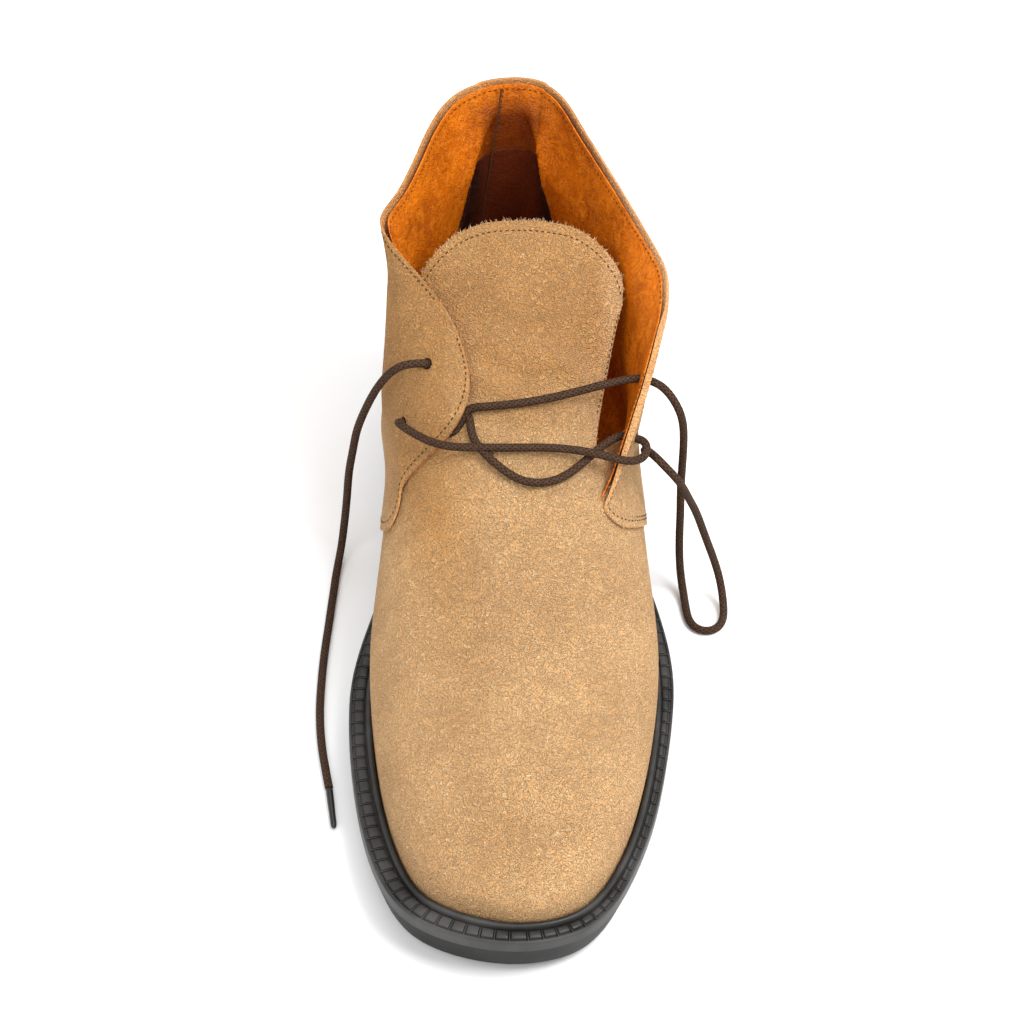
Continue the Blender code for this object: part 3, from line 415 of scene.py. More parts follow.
def seat_on_vamp(grid, across, up):
    """Lays the front foot of each quarter on the vamp, one leather thickness proud of it."""
    last = len(QUARTERS) - 1
    for i, column in enumerate(across):
        from_edge = min(column, last - column)
        beside = 1 - smooth_step((from_edge - 0.5) / 1.3)
        for j, row in enumerate(up):
            weight = beside * (1 - smooth_step((row - 2.9) / 0.9))
            if weight > 0:
                target = onto_last(grid[i, j], OVERLAP_STEP)
                grid[i, j] += weight * (target - grid[i, j])
    return grid


def surface_normals(grid):
    """Unit normals of a grid; which way they face follows the order of its points."""
    return unit(np.cross(np.gradient(grid, axis=0), np.gradient(grid, axis=1)))


# Eyelets: name, side, net column from the front edge, net row
EYELETS = (
    ("outer low", 1, 0.64, 4.45),
    ("outer high", 1, 0.68, 5.55),
    ("inner low", -1, 0.76, 4.2),
    ("inner high", -1, 0.80, 5.55),
)


def eyelet_frame(side, column, row):
    """Centre of an eyelet on the quarter's outer face, and the way straight through it."""
    last = len(QUARTERS) - 1
    middle = column if side > 0 else last - column
    around = np.array([middle - 0.05, middle, middle + 0.05])
    rows = np.array([row - 0.05, row, row + 0.05])
    grid = quarter_surface(around, rows)
    return grid[1, 1], surface_normals(grid)[1, 1]


def tongue_half_width(t, side):
    """Half width of the tongue on one side, at a share of the way from the throat to its top."""
    root, top = (TONGUE_ROOT_OUTER, TONGUE_OUTER) if side > 0 else (TONGUE_ROOT_INNER, TONGUE_INNER)
    return (root + (top - root) * t ** 1.5) * HALF


def tongue_surface(along, across, start):
    """Outer face of the tongue: it leaves the last's ridge and grows flatter to its top."""
    points = []
    for t in along:
        row = []
        for s in across:
            side = 1 if s >= 0 else -1
            top = (TONGUE_TOP - TONGUE_CORNER * abs(s) ** 4) * LENGTH
            y = start + (top - start) * t
            middle = ridge_across(y)[0]
            x = middle + s * tongue_half_width(t, side)
            column = last_column(place_at(side, y, WIDEST), np.linspace(0.3, 1, 120))
            order = np.argsort(column[:, 0])
            z_last = np.interp(x, column[order, 0], column[order, 2])
            z_flat = ridge_height(y)[0] - TONGUE_SAG * s * s
            flat = smooth_step((y / LENGTH - THROAT) / (TONGUE_FLAT_FROM - THROAT))
            row.append((x, y, z_last + (z_flat - z_last) * flat))
        points.append(row)
    return np.array(points)


# Routes of the lace, in metres: the crossings over the tongue, then the ends and their tips
HIGH_CROSSING = (
    (-0.0151, 0.0260, 0.0928), (-0.0110, 0.0256, 0.0944), (-0.0057, 0.0252, 0.0954),
    (0.0071, 0.0265, 0.0964), (0.0190, 0.0296, 0.0968), (0.0300, 0.0324, 0.0980),
    (0.0380, 0.0344, 0.0986),
)
LOW_CROSSING = (
    (-0.0157, 0.0252, 0.0895), (-0.0149, 0.0203, 0.0892), (-0.0129, 0.0139, 0.0879),
    (-0.0078, 0.0070, 0.0869), (-0.0024, 0.0024, 0.0855), (0.0038, -0.0004, 0.0842),
    (0.0102, -0.0003, 0.0836), (0.0160, 0.0022, 0.0833), (0.0220, 0.0070, 0.0836),
    (0.0290, 0.0143, 0.0844), (0.0343, 0.0196, 0.0841), (0.0386, 0.0224, 0.0832),
    (0.0430, 0.0219, 0.0825), (0.0457, 0.0206, 0.0822), (0.0466, 0.0175, 0.0818),
    (0.0455, 0.0141, 0.0817), (0.0430, 0.0116, 0.0823), (0.0395, 0.0102, 0.0834),
    (0.0330, 0.0100, 0.0856), (0.0260, 0.0106, 0.0872), (0.0150, 0.0110, 0.0888),
    (0.0048, 0.0106, 0.0896), (-0.0060, 0.0108, 0.0893), (-0.0150, 0.0118, 0.0884),
    (-0.0225, 0.0134, 0.0873), (-0.0290, 0.0168, 0.0862), (-0.0340, 0.0210, 0.0853),
    (-0.0377, 0.0249, 0.0846), (-0.0398, 0.0284, 0.0834),
)
INNER_END = (
    (-0.0325, 0.0396, 0.1018), (-0.0356, 0.0389, 0.1023),
    (-0.0389, 0.0391, 0.1012), (-0.0424, 0.0393, 0.0980), (-0.0459, 0.0392, 0.0928),
    (-0.0496, 0.0391, 0.0845), (-0.0521, 0.0401, 0.0760), (-0.0543, 0.0409, 0.0670),
    (-0.0557, 0.0412, 0.0565), (-0.0570, 0.0418, 0.0455), (-0.0576, 0.0423, 0.0345),
    (-0.0582, 0.0427, 0.0235), (-0.0590, 0.0420, 0.0135), (-0.0600, 0.0396, 0.0055),
    (-0.0612, 0.0345, 0.0019), (-0.0625, 0.0235, 0.0016), (-0.0636, 0.0137, 0.0016),
    (-0.0646, 0.0041, 0.0016), (-0.0657, -0.0054, 0.0016), (-0.0665, -0.0149, 0.0016),
    (-0.0671, -0.0243, 0.0016), (-0.0674, -0.0336, 0.0016), (-0.0672, -0.0428, 0.0016),
    (-0.0665, -0.0519, 0.0016), (-0.0653, -0.0610, 0.0016), (-0.0641, -0.0691, 0.0016),
)
INNER_TIP = ((-0.0640, -0.0697, 0.0016), (-0.0624, -0.0863, 0.0016))
OUTER_LOOP = (
    (0.0497, 0.0348, 0.0975), (0.0533, 0.0331, 0.0956),
    (0.0566, 0.0315, 0.0912),
    (0.0590, 0.0306, 0.0860), (0.0605, 0.0303, 0.0780), (0.0610, 0.0301, 0.0680),
    (0.0611, 0.0299, 0.0580), (0.0613, 0.0296, 0.0480), (0.0618, 0.0292, 0.0380),
    (0.0621, 0.0287, 0.0280), (0.0625, 0.0276, 0.0185), (0.0633, 0.0258, 0.0095),
    (0.0643, 0.0222, 0.0036), (0.0651, 0.0158, 0.0017), (0.0656, 0.0096, 0.0016),
    (0.0673, 0.0053, 0.0016), (0.0721, 0.0029, 0.0016), (0.0769, 0.0053, 0.0016),
    (0.0787, 0.0100, 0.0016), (0.0788, 0.0156, 0.0032), (0.0778, 0.0208, 0.0080),
    (0.0748, 0.0236, 0.0180), (0.0710, 0.0238, 0.0297),
    (0.0666, 0.0225, 0.0442), (0.0623, 0.0183, 0.0574), (0.0585, 0.0148, 0.0682),
    (0.0552, 0.0143, 0.0735), (0.0518, 0.0163, 0.0764), (0.0488, 0.0204, 0.0766),
    (0.0473, 0.0248, 0.0736), (0.0473, 0.0293, 0.0689), (0.0477, 0.0341, 0.0638),
)
OUTER_TIP = ((0.0478, 0.0347, 0.0632), (0.0492, 0.0459, 0.0512))

# Lace under the inner facing, down to the low crossing and up to the high one: net column, net
# row, extra depth
FLAP_DOWN = ((0.66, 5.47, 0.0), (0.44, 5.36, 0.0006), (0.20, 5.22, 0.0020), (0.02, 5.08, 0.0028))
FLAP_UP = ((0.64, 4.26, 0.0), (0.45, 4.44, 0.0), (0.22, 4.68, 0.0), (0.02, 4.88, 0.0))

# Camera: place, downward angle, focal length in image pixels, and turn to the boot
CAMERA_TARGET = (-0.0603, 0.045, 0.020)
CAMERA_DISTANCE = 1.456
CAMERA_DOWN = math.radians(47.0)
CAMERA_FOCAL = 4000.0
CAMERA_PAN = math.atan(172.0 / CAMERA_FOCAL)
SENSOR = 36.0
IMAGE_SIDE = 1024


def link(name, data):
    """A new object in the scene."""
    thing = bpy.data.objects.new(name, data)
    bpy.context.scene.collection.objects.link(thing)
    return thing


def add_camera():
    data = bpy.data.cameras.new("camera")
    data.sensor_width = SENSOR
    data.lens = CAMERA_FOCAL / IMAGE_SIDE * SENSOR
    data.clip_start = 0.05
    camera = link("camera", data)
    ahead = Vector((0, math.cos(CAMERA_DOWN), -math.sin(CAMERA_DOWN)))
    turn = ahead.to_track_quat("-Z", "Y").to_matrix() @ Matrix.Rotation(-CAMERA_PAN, 3, "Y")
    place = Vector(CAMERA_TARGET) - ahead * CAMERA_DISTANCE
    camera.matrix_world = Matrix.Translation(place) @ turn.to_4x4()
    bpy.context.scene.camera = camera


# Meshes from numpy arrays
def add_piece(name, points, faces, materials):
    """A visible piece of the boot; it rides on the one body."""
    mesh = bpy.data.meshes.new(name)
    mesh.from_pydata(np.asarray(points, float).tolist(), [], [list(map(int, face)) for face in faces])
    mesh.validate()
    mesh.shade_smooth()
    piece = link(name, mesh)
    for material in materials:
        mesh.materials.append(material)
    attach(piece, "root")
    return piece


def grid_faces(columns, rows, closed=False, looped=False):
    """Quads of a grid, closed from its last column to its first, or looped from last row to first."""
    across = np.arange(columns if closed else columns - 1)
    up = np.arange(rows if looped else rows - 1)
    i, j = [index.ravel() for index in np.meshgrid(across, up, indexing="ij")]
    after, above = (i + 1) % columns, (j + 1) % rows
    return np.stack([i * rows + j, after * rows + j, after * rows + above, i * rows + above], axis=1)


def ring_faces(rings, around):
    """Quads between closed rings of points that follow each other."""
    return grid_faces(rings, around, looped=True)[:, [0, 3, 2, 1]].tolist()


@contextmanager
def edited(piece):
    """The mesh of a piece, open for editing and then written back."""
    bm = bmesh.new()
    bm.from_mesh(piece.data)
    yield bm
    bm.to_mesh(piece.data)
    bm.free()


def orient(piece, probe):
    """Turns an open skin so that its faces look away from a point inside it."""
    with edited(piece) as bm:
        bmesh.ops.recalc_face_normals(bm, faces=bm.faces)
        lean = sum(f.normal.dot(f.calc_center_median() - Vector(probe)) * f.calc_area() for f in bm.faces)
        if lean < 0:
            bmesh.ops.reverse_faces(bm, faces=bm.faces)


def orient_closed(piece):
    """Joins double points of a closed skin and turns its faces outward."""
    with edited(piece) as bm:
        bmesh.ops.remove_doubles(bm, verts=bm.verts, dist=0.000005)
        bmesh.ops.recalc_face_normals(bm, faces=bm.faces)


def clean(piece, merge=0.0):
    """Drops loose points and joins those nearer than a distance."""
    with edited(piece) as bm:
        bmesh.ops.delete(bm, geom=[v for v in bm.verts if not v.link_faces], context="VERTS")
        if merge:
            bmesh.ops.remove_doubles(bm, verts=bm.verts, dist=merge)


def with_foot(grid):
    """Adds two rows that stand the columns of an upper on the outsole."""
    foot = grid[:, 0].copy()
    foot[:, 2] = platform(foot[:, 1]) + GAP
    middle = (foot + grid[:, 0]) / 2
    return np.concatenate([foot[:, None], middle[:, None], grid], axis=1)


def thicken(piece, thickness, rim=0, inside=0):
    """Gives an open skin its leather, inward, with a rounded cut edge; rim and inside are slots."""
    solid = piece.modifiers.new("leather", "SOLIDIFY")
    solid.thickness = thickness
    solid.offset = -1
    solid.use_even_offset = True
    solid.use_quality_normals = True
    solid.thickness_clamp = 1.0
    solid.material_offset = inside
    solid.material_offset_rim = rim
    bevel = piece.modifiers.new("worn edge", "BEVEL")
    bevel.width = 0.22 * thickness
    bevel.segments = 2
    bevel.limit_method = "ANGLE"
    bevel.angle_limit = math.radians(50)
    bevel.harden_normals = False


def even_steps(line, step):
    """Places along a polyline, in points, that are one step apart."""
    length = arc_lengths(line)
    count = max(2, int(round(length[-1] / step)) + 1)
    return np.interp(np.linspace(0, length[-1], count), length, np.arange(len(line)))


def resample(line, step):
    line = np.asarray(line, float)
    places = even_steps(line, step)
    low = np.clip(places.astype(int), 0, len(line) - 2)
    share = (places - low)[:, None]
    return line[low] * (1 - share) + line[low + 1] * share


def smooth_route(route, step):
    """Evenly spaced points on a smooth curve through a given route."""
    route = np.array(route, float)
    knots = arc_lengths(route)
    fine = spline(knots, route, np.linspace(0, knots[-1], max(200, 8 * len(route))))
    return resample(fine, step)


def waves(points, size):
    """Smooth noise in -1..1 at each point, with waves about as long as the size."""
    flat = [noise.noise(Vector(point) / size) for point in points.reshape(-1, 3)]
    return np.array(flat).reshape(points.shape[:-1])


def round_corner(grid, corner, radius):
    """Shortens the columns beside a front corner, so that the collar turns down in an arc."""
    top = grid[:, -1].copy()
    away = np.abs(arc_lengths(top) - arc_lengths(top)[corner])
    for i in np.flatnonzero(away < radius):
        drop = radius - math.sqrt(radius ** 2 - (radius - away[i]) ** 2)
        length = arc_lengths(grid[i])
        wanted = length * (1 - drop / length[-1])
        grid[i] = along_line(grid[i], length, wanted)


class Sheet:
    """A fine grid with its outward normals and the net places of its columns and rows."""

    def __init__(self, grid, normals, around, rise):
        self.grid, self.normals, self.around, self.rise = grid, normals, around, rise

    def at(self, i, j, depth=0.0):
        """Points and normals between the grid's points, sunk by a depth."""
        i, j = np.asarray(i, float), np.asarray(j, float)
        low_i = np.clip(i.astype(int), 0, self.grid.shape[0] - 2)
        low_j = np.clip(j.astype(int), 0, self.grid.shape[1] - 2)
        a, b = (i - low_i)[:, None], (j - low_j)[:, None]
        found = []
        for values in (self.grid, self.normals):
            near = values[low_i, low_j] * (1 - b) + values[low_i, low_j + 1] * b
            far = values[low_i + 1, low_j] * (1 - b) + values[low_i + 1, low_j + 1] * b
            found.append(near * (1 - a) + far * a)
        return found[0] - found[1] * depth, found[1]

    def front_line(self, side, inset, low, high):
        """Places along a front edge between two net rows, at an inset from it."""
        count = np.arange(len(self.grid))
        rows = np.arange(*np.interp((low, high), self.rise, np.arange(len(self.rise))).astype(int))
        columns = np.array([np.interp(inset, arc_lengths(self.grid[::side, j]), count) for j in rows])
        return (columns if side > 0 else count[-1] - columns), rows

    def top_line(self, inset, first, last):
        """Places along the top edge between two net columns, at an inset from it."""
        count = np.arange(self.grid.shape[1])
        columns = np.arange(*np.interp((first, last), self.around, np.arange(len(self.around))).astype(int))
        rows = [count[-1] - np.interp(inset, arc_lengths(self.grid[i, ::-1]), count) for i in columns]
        return columns, np.array(rows)

    def net_line(self, columns, rows):
        """Places of net columns and rows."""
        return (np.interp(columns, self.around, np.arange(len(self.around))),
                np.interp(rows, self.rise, np.arange(len(self.rise))))


# Vamp and tongue: one suede skin
VAMP_STEP = 0.0011
SIDE_ROWS = 48
RIDGE_ROWS = 32
TOE_COLUMNS = 120
VAMP_BEHIND = 0.165
BEHIND_CLIMB = 0.5
TONGUE_CELLS = 24
TONGUE_ROUND = 0.007
MERGE = 0.00004


def edge_climb(side, y):
    """How far up the last the tongue's edge starts, and the section there."""
    climb = np.linspace(0.3, 1, 600)
    column = last_column(place_at(side, y, WIDEST), climb)
    target = ridge_across(y)[0] + side * tongue_half_width(0.0, side)
    order = np.argsort(column[:, 0])
    return float(np.interp(target, column[order, 0], climb[order]))


def creased(points):
    """Soft troughs and ridges as listed, with slow unevenness of the hide between them."""
    points = points.copy()
    for start, end, width, height in CREASES:
        start = np.array(start) * (HALF, LENGTH)
        run = np.array(end) * (HALF, LENGTH) - start
        share = np.clip((points[..., :2] - start) @ run / (run @ run), 0, 1)
        away = np.linalg.norm(points[..., :2] - start - share[..., None] * run, axis=-1)
        points[..., 2] += height * np.sin(math.pi * (0.12 + 0.76 * share)) * np.exp(-(away / width) ** 2)
    inside = smooth_step((points[..., 2] - HEEL_SEAT_HEIGHT) / 0.010)
    points[..., 2] += inside * sum(height * waves(points, length) for height, length in UNEVEN)
    return points


def vamp_stations(throat):
    """Rim places from the outer side round the toe to the inner one, how far each is toward the
    inner side, the part of the side that is made, and how many lie behind the throat."""
    behind = np.arange(VAMP_BEHIND * LENGTH, throat + 0.2 * VAMP_STEP, -VAMP_STEP)
    ahead = np.linspace(throat, TOE_POLE * LENGTH, int((throat - TOE_POLE * LENGTH) / VAMP_STEP))
    outer = [place_at(1, y, WIDEST) for y in np.concatenate([behind, ahead])]
    inner = [place_at(-1, y, WIDEST) for y in np.concatenate([behind, ahead])]
    toe = np.linspace(outer[-1], inner[-1] - len(RIM_POINTS), TOE_COLUMNS)[1:-1]
    places = outer + list(toe % len(RIM_POINTS)) + inner[::-1]
    mix = np.concatenate([np.zeros(len(outer)), np.linspace(0, 1, TOE_COLUMNS)[1:-1], np.ones(len(inner))])
    spread = np.concatenate([behind, np.full(len(places) - 2 * len(behind), throat), behind[::-1]])
    part = 1 - (1 - BEHIND_CLIMB) * (spread - throat) / (VAMP_BEHIND * LENGTH - throat)
    return places, mix, part, len(behind)


def vamp_grid(throat):
    """Columns of the vamp from its foot to the ridge, and how many at each end lie behind the throat."""
    places, mixes, parts, behind = vamp_stations(throat)
    outer_edge, inner_edge = edge_climb(1, throat), edge_climb(-1, throat)
    side_share = np.linspace(0, 1, SIDE_ROWS)
    ridge_share = np.linspace(0, 1, RIDGE_ROWS)[1:]
    columns = []
    for place, mix, part in zip(places, mixes, parts):
        edge = outer_edge * (1 - mix) + inner_edge * mix
        climb = np.concatenate([side_share * edge * part, edge + ridge_share * (1 - edge)])
        columns.append(last_column(place, climb))
    return creased(with_foot(np.array(columns))), behind


def tongue_sheet(outer, inner, throat):
    """Sheet of the tongue; it starts on the vamp's two lines of points at the throat."""
    middle = ridge_across(throat)[0]
    outer_share = np.abs(outer[:, 0] - middle) / tongue_half_width(0.0, 1)
    inner_share = -np.abs(inner[:, 0] - middle) / tongue_half_width(0.0, -1)
    across = np.concatenate([inner_share, outer_share[::-1][1:]])
    along = np.linspace(0, 1, int((TONGUE_TOP * LENGTH - throat) / VAMP_STEP))
    cells = TONGUE_CELLS
    coarse = tongue_surface(np.linspace(0, 1, cells + 1), np.linspace(-1, 1, cells + 1), throat)
    grid = creased(upsample(coarse, along * cells, (across + 1) * cells / 2))
    for corner in (0, len(across) - 1):
        round_corner(grid.swapaxes(0, 1), corner, TONGUE_ROUND)
    grid[0] = np.vstack([inner, outer[::-1][1:]])
    normals = surface_normals(grid)
    if np.sum(normals[..., 2]) < 0:
        normals = -normals
    return Sheet(grid, normals, along, across)


def make_vamp(materials):
    """The vamp and the tongue; gives back the sheet of the tongue."""
    throat = THROAT * LENGTH
    grid, behind = vamp_grid(throat)
    columns, rows = grid.shape[:2]
    faces = grid_faces(columns, rows)
    column, row = faces[:, 0] // rows, faces[:, 0] % rows
    ridge = SIDE_ROWS + 1
    under_tongue = ((column < behind) | (column >= columns - behind - 1)) & (row >= ridge)
    tongue = tongue_sheet(grid[behind, ridge:], grid[columns - behind - 1, ridge:], throat)
    tongue_faces = grid_faces(*tongue.grid.shape[:2]) + columns * rows
    points = np.vstack([grid.reshape(-1, 3), tongue.grid.reshape(-1, 3)])
    faces = np.vstack([faces[~under_tongue], tongue_faces])
    vamp = add_piece("vamp_and_tongue", points, faces, materials)
    clean(vamp, merge=MERGE)
    orient(vamp, (0, -0.1 * LENGTH, 0.3 * INSTEP_HEIGHT))
    thicken(vamp, TONGUE_THICKNESS, rim=1, inside=2)
    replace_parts(vamp, "upper", "tongue")
    return tongue


# Quarters: outer suede, lining and what is sewn on them
QUARTER_STEP = 0.0012
OUTER_CORNER = 0.014
INNER_CORNER = 0.004
ROLL = 0.0048
POCKET_TOP = 5.05
POCKET_LAP = 0.30
POCKET_THICKNESS = 0.0006
INSIDE_BOOT = (0, 0.3 * LENGTH, 0.5 * BACK_HEIGHT)
COLUMN_CELLS = 5
ROW_CELLS = 4
BACK_COLUMN = 6
BACK_ACROSS = 0.035


def quarter_grid():
    """Sheet of the outer face of the quarters, with the heel tab."""
    last = len(QUARTERS) - 1
    top = len(QUARTERS[0][2])
    coarse_across = np.linspace(0, last, COLUMN_CELLS * last + 1)
    coarse_up = np.linspace(0, top, ROW_CELLS * top + 1)
    coarse = seat_on_vamp(quarter_surface(coarse_across, coarse_up), coarse_across, coarse_up)
    around = even_steps(coarse[:, -6], QUARTER_STEP)
    rise = even_steps(coarse[len(coarse) // 2], QUARTER_STEP)
    grid = upsample(coarse, around, rise)
    round_corner(grid, 0, OUTER_CORNER)
    round_corner(grid, len(grid) - 1, INNER_CORNER)
    normals = surface_normals(grid)
    if np.sum(normals[len(around) // 2, :, 1]) < 0:
        normals = -normals
    around, rise = around / COLUMN_CELLS, rise / ROW_CELLS
    back = grid[:, len(rise) // 2, 0] - BACK_ACROSS * HALF
    tab = smooth_step((TAB_WIDTH / 2 + 0.0004 - np.abs(back)) / 0.0008)
    tab *= np.abs(around - BACK_COLUMN) < 1.5
    step = TAB_STEP * tab[:, None] * smooth_step((rise - 0.8) / 0.4)[None, :]
    step += 0.0002 * waves(grid, 0.010) * smooth_step((rise - 1.0) / 1.0)[None, :]
    return Sheet(grid + normals * step[:, :, None], normals, around, rise)


def punch(points, faces, centre, way, radius, reach=0.006):
    """Opens a round hole in a skin of quads and lays its rim on the circle."""
    away = points - centre
    depth = away @ way
    radial = away - depth[:, None] * way
    distance = np.linalg.norm(radial, axis=1)
    near = np.abs(depth) < reach
    middle = points[faces].mean(axis=1) - centre
    middle_depth = middle @ way
    middle_distance = np.linalg.norm(middle - middle_depth[:, None] * way, axis=1)
    dropped = (middle_distance < radius) & (np.abs(middle_depth) < reach)
    rim = np.intersect1d(faces[dropped].ravel(), faces[~dropped].ravel())
    rim = rim[near[rim]]
    points = points.copy()
    points[rim] += radial[rim] * (radius / np.maximum(distance[rim], 1e-6) - 1)[:, None]
    return points, faces[~dropped]


def eyelet_places():
    """Centre and way through of each eyelet, by name."""
    return {name: eyelet_frame(side, column, row) for name, side, column, row in EYELETS}


def with_eyelets(points, faces):
    """A skin of the quarters with the four holes punched."""
    for centre, way in eyelet_places().values():
        points, faces = punch(points, faces, centre, way, HOLE_RADIUS)
    return points, faces


def make_quarters(sheet, materials):
    """Suede of the quarters, with their eyelets."""
    full = with_foot(sheet.grid)
    points, faces = with_eyelets(full.reshape(-1, 3), grid_faces(*full.shape[:2]))
    quarters = add_piece("quarters", points, faces, materials)
    clean(quarters)
    orient(quarters, INSIDE_BOOT)
    thicken(quarters, SUEDE, rim=1, inside=1)
    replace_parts(quarters, "upper")


def pocket_sides(rise):
    """Net columns where the heel pocket ends on the outer and the inner side, wider lower down."""
    below = np.clip(5.3 - rise, -0.8, 2.2)
    return 5.38 - 0.46 * below, 6.66 + 0.42 * below


def lining_face(sheet):
    """Suede side of the lining, with the padded rolls that stand in beside the heel pocket."""
    around, rise = sheet.around, sheet.rise
    outer, inner = pocket_sides(rise)
    roll = 0.0
    for away in (outer[None, :] - around[:, None], around[:, None] - inner[None, :]):
        roll = roll + smooth_step(away / 0.16) * (1 - smooth_step((away - 0.35) / 2.5))
    high = smooth_step((rise - 0.8) / 1.2) * (1 - smooth_step((rise - 4.6) / 2.2))
    depth = ROLL * roll * high[None, :]
    stretched = sheet.grid * (1.0, 1.0, 0.35)
    folds = waves(stretched, 0.0055) + 0.7 * waves(stretched * 1.7, 0.0042)
    edge = np.minimum(smooth_step((rise - 0.6) / 0.8), 1 - smooth_step((rise - 6.1) / 0.7))
    edge = edge[None, :] * smooth_step(np.minimum(around, around[-1] - around) / 0.8)[:, None]
    depth += (0.00045 + 0.00040 * folds) * edge
    face = sheet.grid - sheet.normals * (SUEDE + 0.00005 + depth)[:, :, None]
    return Sheet(face, sheet.normals, around, rise)


def make_lining(sheet, face, leather):
    """Leather lining behind the suede of the quarters."""
    inset = face.grid.copy()
    columns, rows = inset.shape[:2]
    # The lining peeps out under the low front of the inner flap
    shown = smooth_step((sheet.rise - 1.9) / 0.4) * (1 - smooth_step((sheet.rise - 3.0) / 0.5))
    inset[-2] += (sheet.grid[-1] - sheet.grid[-2]) * 1.6 * shown[:, None]
    points, faces = with_eyelets(inset[1:-1, :-1].reshape(-1, 3), grid_faces(columns - 2, rows - 1))
    lining = add_piece("quarter_lining", points, faces, [leather])
    clean(lining)
    orient(lining, INSIDE_BOOT)
    thicken(lining, LINING)
    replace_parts(lining, "upper")


def make_heel_pocket(face, leather):
    """Heel pocket laid over the lining round the heel, with an arched top. Its near-black colour is mostly
    painted shade of the deep heel cup, on leather only a little darker than the lining.
    """
    columns, count = 90, 60
    points = []
    for share in np.linspace(0, 1, columns):
        high = POCKET_TOP - 0.95 * abs(2 * share - 1) ** 3.2
        rows = np.linspace(0.3, high, count)
        outer, inner = pocket_sides(rows)
        across = outer - POCKET_LAP + (inner - outer + 2 * POCKET_LAP) * share
        points.append(face.at(*face.net_line(across, rows), LINING + 0.0004)[0])
    faces = grid_faces(columns, count)
    pocket = add_piece("heel_pocket", np.vstack(points), faces, [leather])
    orient(pocket, INSIDE_BOOT)
    thicken(pocket, POCKET_THICKNESS)
    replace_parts(pocket, "upper")


# Stitches and loose hairs
STITCH_PITCH = 0.0021
STITCH_LENGTH = 0.0014
STITCH_WIDTH = 0.0005
STITCH_SINK = 0.0002
STITCH_AHEAD = 0.0005
HAIR_SEED = 7

# Rows of thread beside the front edges: side, inset, first and last net row
SUEDE_SEAMS = (
    (-1, 0.0033, 0.1, 6.75),
    (1, 0.0026, 0.1, 2.6),
    (1, 0.0042, 0.1, 2.3),
    (1, 0.0030, 2.6, 6.55),
)
LINING_SEAMS = (
    (1, 0.0026, 2.5, 6.5),
    (-1, 0.0026, 4.0, 6.7),
)

# Row of thread beside the top edge: inset, first and last net column
TOP_SEAM = (0.0030, 0.30, len(QUARTERS) - 1.25)

# Insets of the thread on the tongue; top row, column there and lean of the back seam and its stitches
TONGUE_SEAM_SIDE = 0.0025
TONGUE_SEAM_TOP = 0.0038
BACK_SEAM = (6.80, 6.24, 0.10)
BACK_STITCHES = (6.80, 6.19, 0.10)
BACK_SEAM_RADIUS = 0.00032


def stitches(rows, name, thread):
    """Short spindles of thread laid end to end along lines on a surface."""
    points, faces = [], []
    for line, ways in rows:
        length = arc_lengths(line)
        for at in np.arange(STITCH_PITCH / 2, length[-1], STITCH_PITCH):
            centre, way = along_line(line, length, at), along_line(ways, length, at)
            run = unit(along_line(line, length, at + STITCH_AHEAD) - centre)
            side = np.cross(way, run)
            base = len(points)
            points.append(centre - run * STITCH_LENGTH / 2 - way * STITCH_SINK)
            for along in (-0.3, 0.3):
                for swing in np.radians((45, 135, 225, 315)):
                    out = side * math.cos(swing) * 1.25 + way * math.sin(swing) * 0.8
                    points.append(centre + run * along * STITCH_LENGTH + out * STITCH_WIDTH / 2)
            points.append(centre + run * STITCH_LENGTH / 2 - way * STITCH_SINK)
            for turn in range(4):
                low, low_after = base + 1 + turn, base + 1 + (turn + 1) % 4
                faces.append((base, low_after, low))
                faces.append((low, low_after, low_after + 4, low + 4))
                faces.append((base + 9, low + 4, low_after + 4))
    piece = add_piece(name, points, faces, [thread])
    orient_closed(piece)
    return piece


def hairs(edges, name, material, rng):
    """Fine tapered hairs of the nap that stand out of cut edges."""
    points, faces = [], []
    for line, outward, ways, per_metre, reach in edges:
        length = arc_lengths(line)
        for at in rng.uniform(0, length[-1], int(length[-1] * per_metre)):
            base, out, way = [along_line(rows, length, at) for rows in (line, outward, ways)]
            lean = unit(out + rng.normal(0, 0.55, 3))
            base = base - way * rng.uniform(0.0, 0.0018) - out * 0.0003
            side = unit(np.cross(lean, (0.3, 0.5, 0.8)))
            other = np.cross(lean, side)
            long = reach * rng.uniform(0.4, 1.0)
            bend = side * rng.normal(0, 0.25) * long
            start = len(points)
            for along, thick in ((0.0, 0.00011), (0.55, 0.00008)):
                centre = base + lean * long * along + bend * along ** 2
                for turn in range(3):
                    swing = 2 * math.pi * turn / 3
                    points.append(centre + (side * math.cos(swing) + other * math.sin(swing)) * thick)
            points.append(base + lean * long + bend)
            for turn in range(3):
                low, low_after = start + turn, start + (turn + 1) % 3
                faces.append((low, low_after, low_after + 3, low + 3))
                faces.append((low + 3, low_after + 3, start + 6))
            faces.append((start + 2, start + 1, start))
    return add_piece(name, points, faces, [material])


def quarter_seams(sheet, face):
    """Rows of thread on the suede and on the lining, as points with the way out of the leather."""
    outside = [sheet.at(*sheet.front_line(*seam)) for seam in SUEDE_SEAMS]
    outside.append(sheet.at(*sheet.top_line(*TOP_SEAM)))
    inside = [face.at(*face.front_line(*seam), LINING) for seam in LINING_SEAMS]
    inside.append(face.at(*sheet.top_line(*TOP_SEAM), LINING))
    top, column, lean = BACK_STITCHES
    rows = np.linspace(POCKET_TOP + 0.1, top, 90)
    inside.append(face.at(*face.net_line(column + lean * (top - rows), rows), LINING))
    return outside, [(line, -ways) for line, ways in inside]


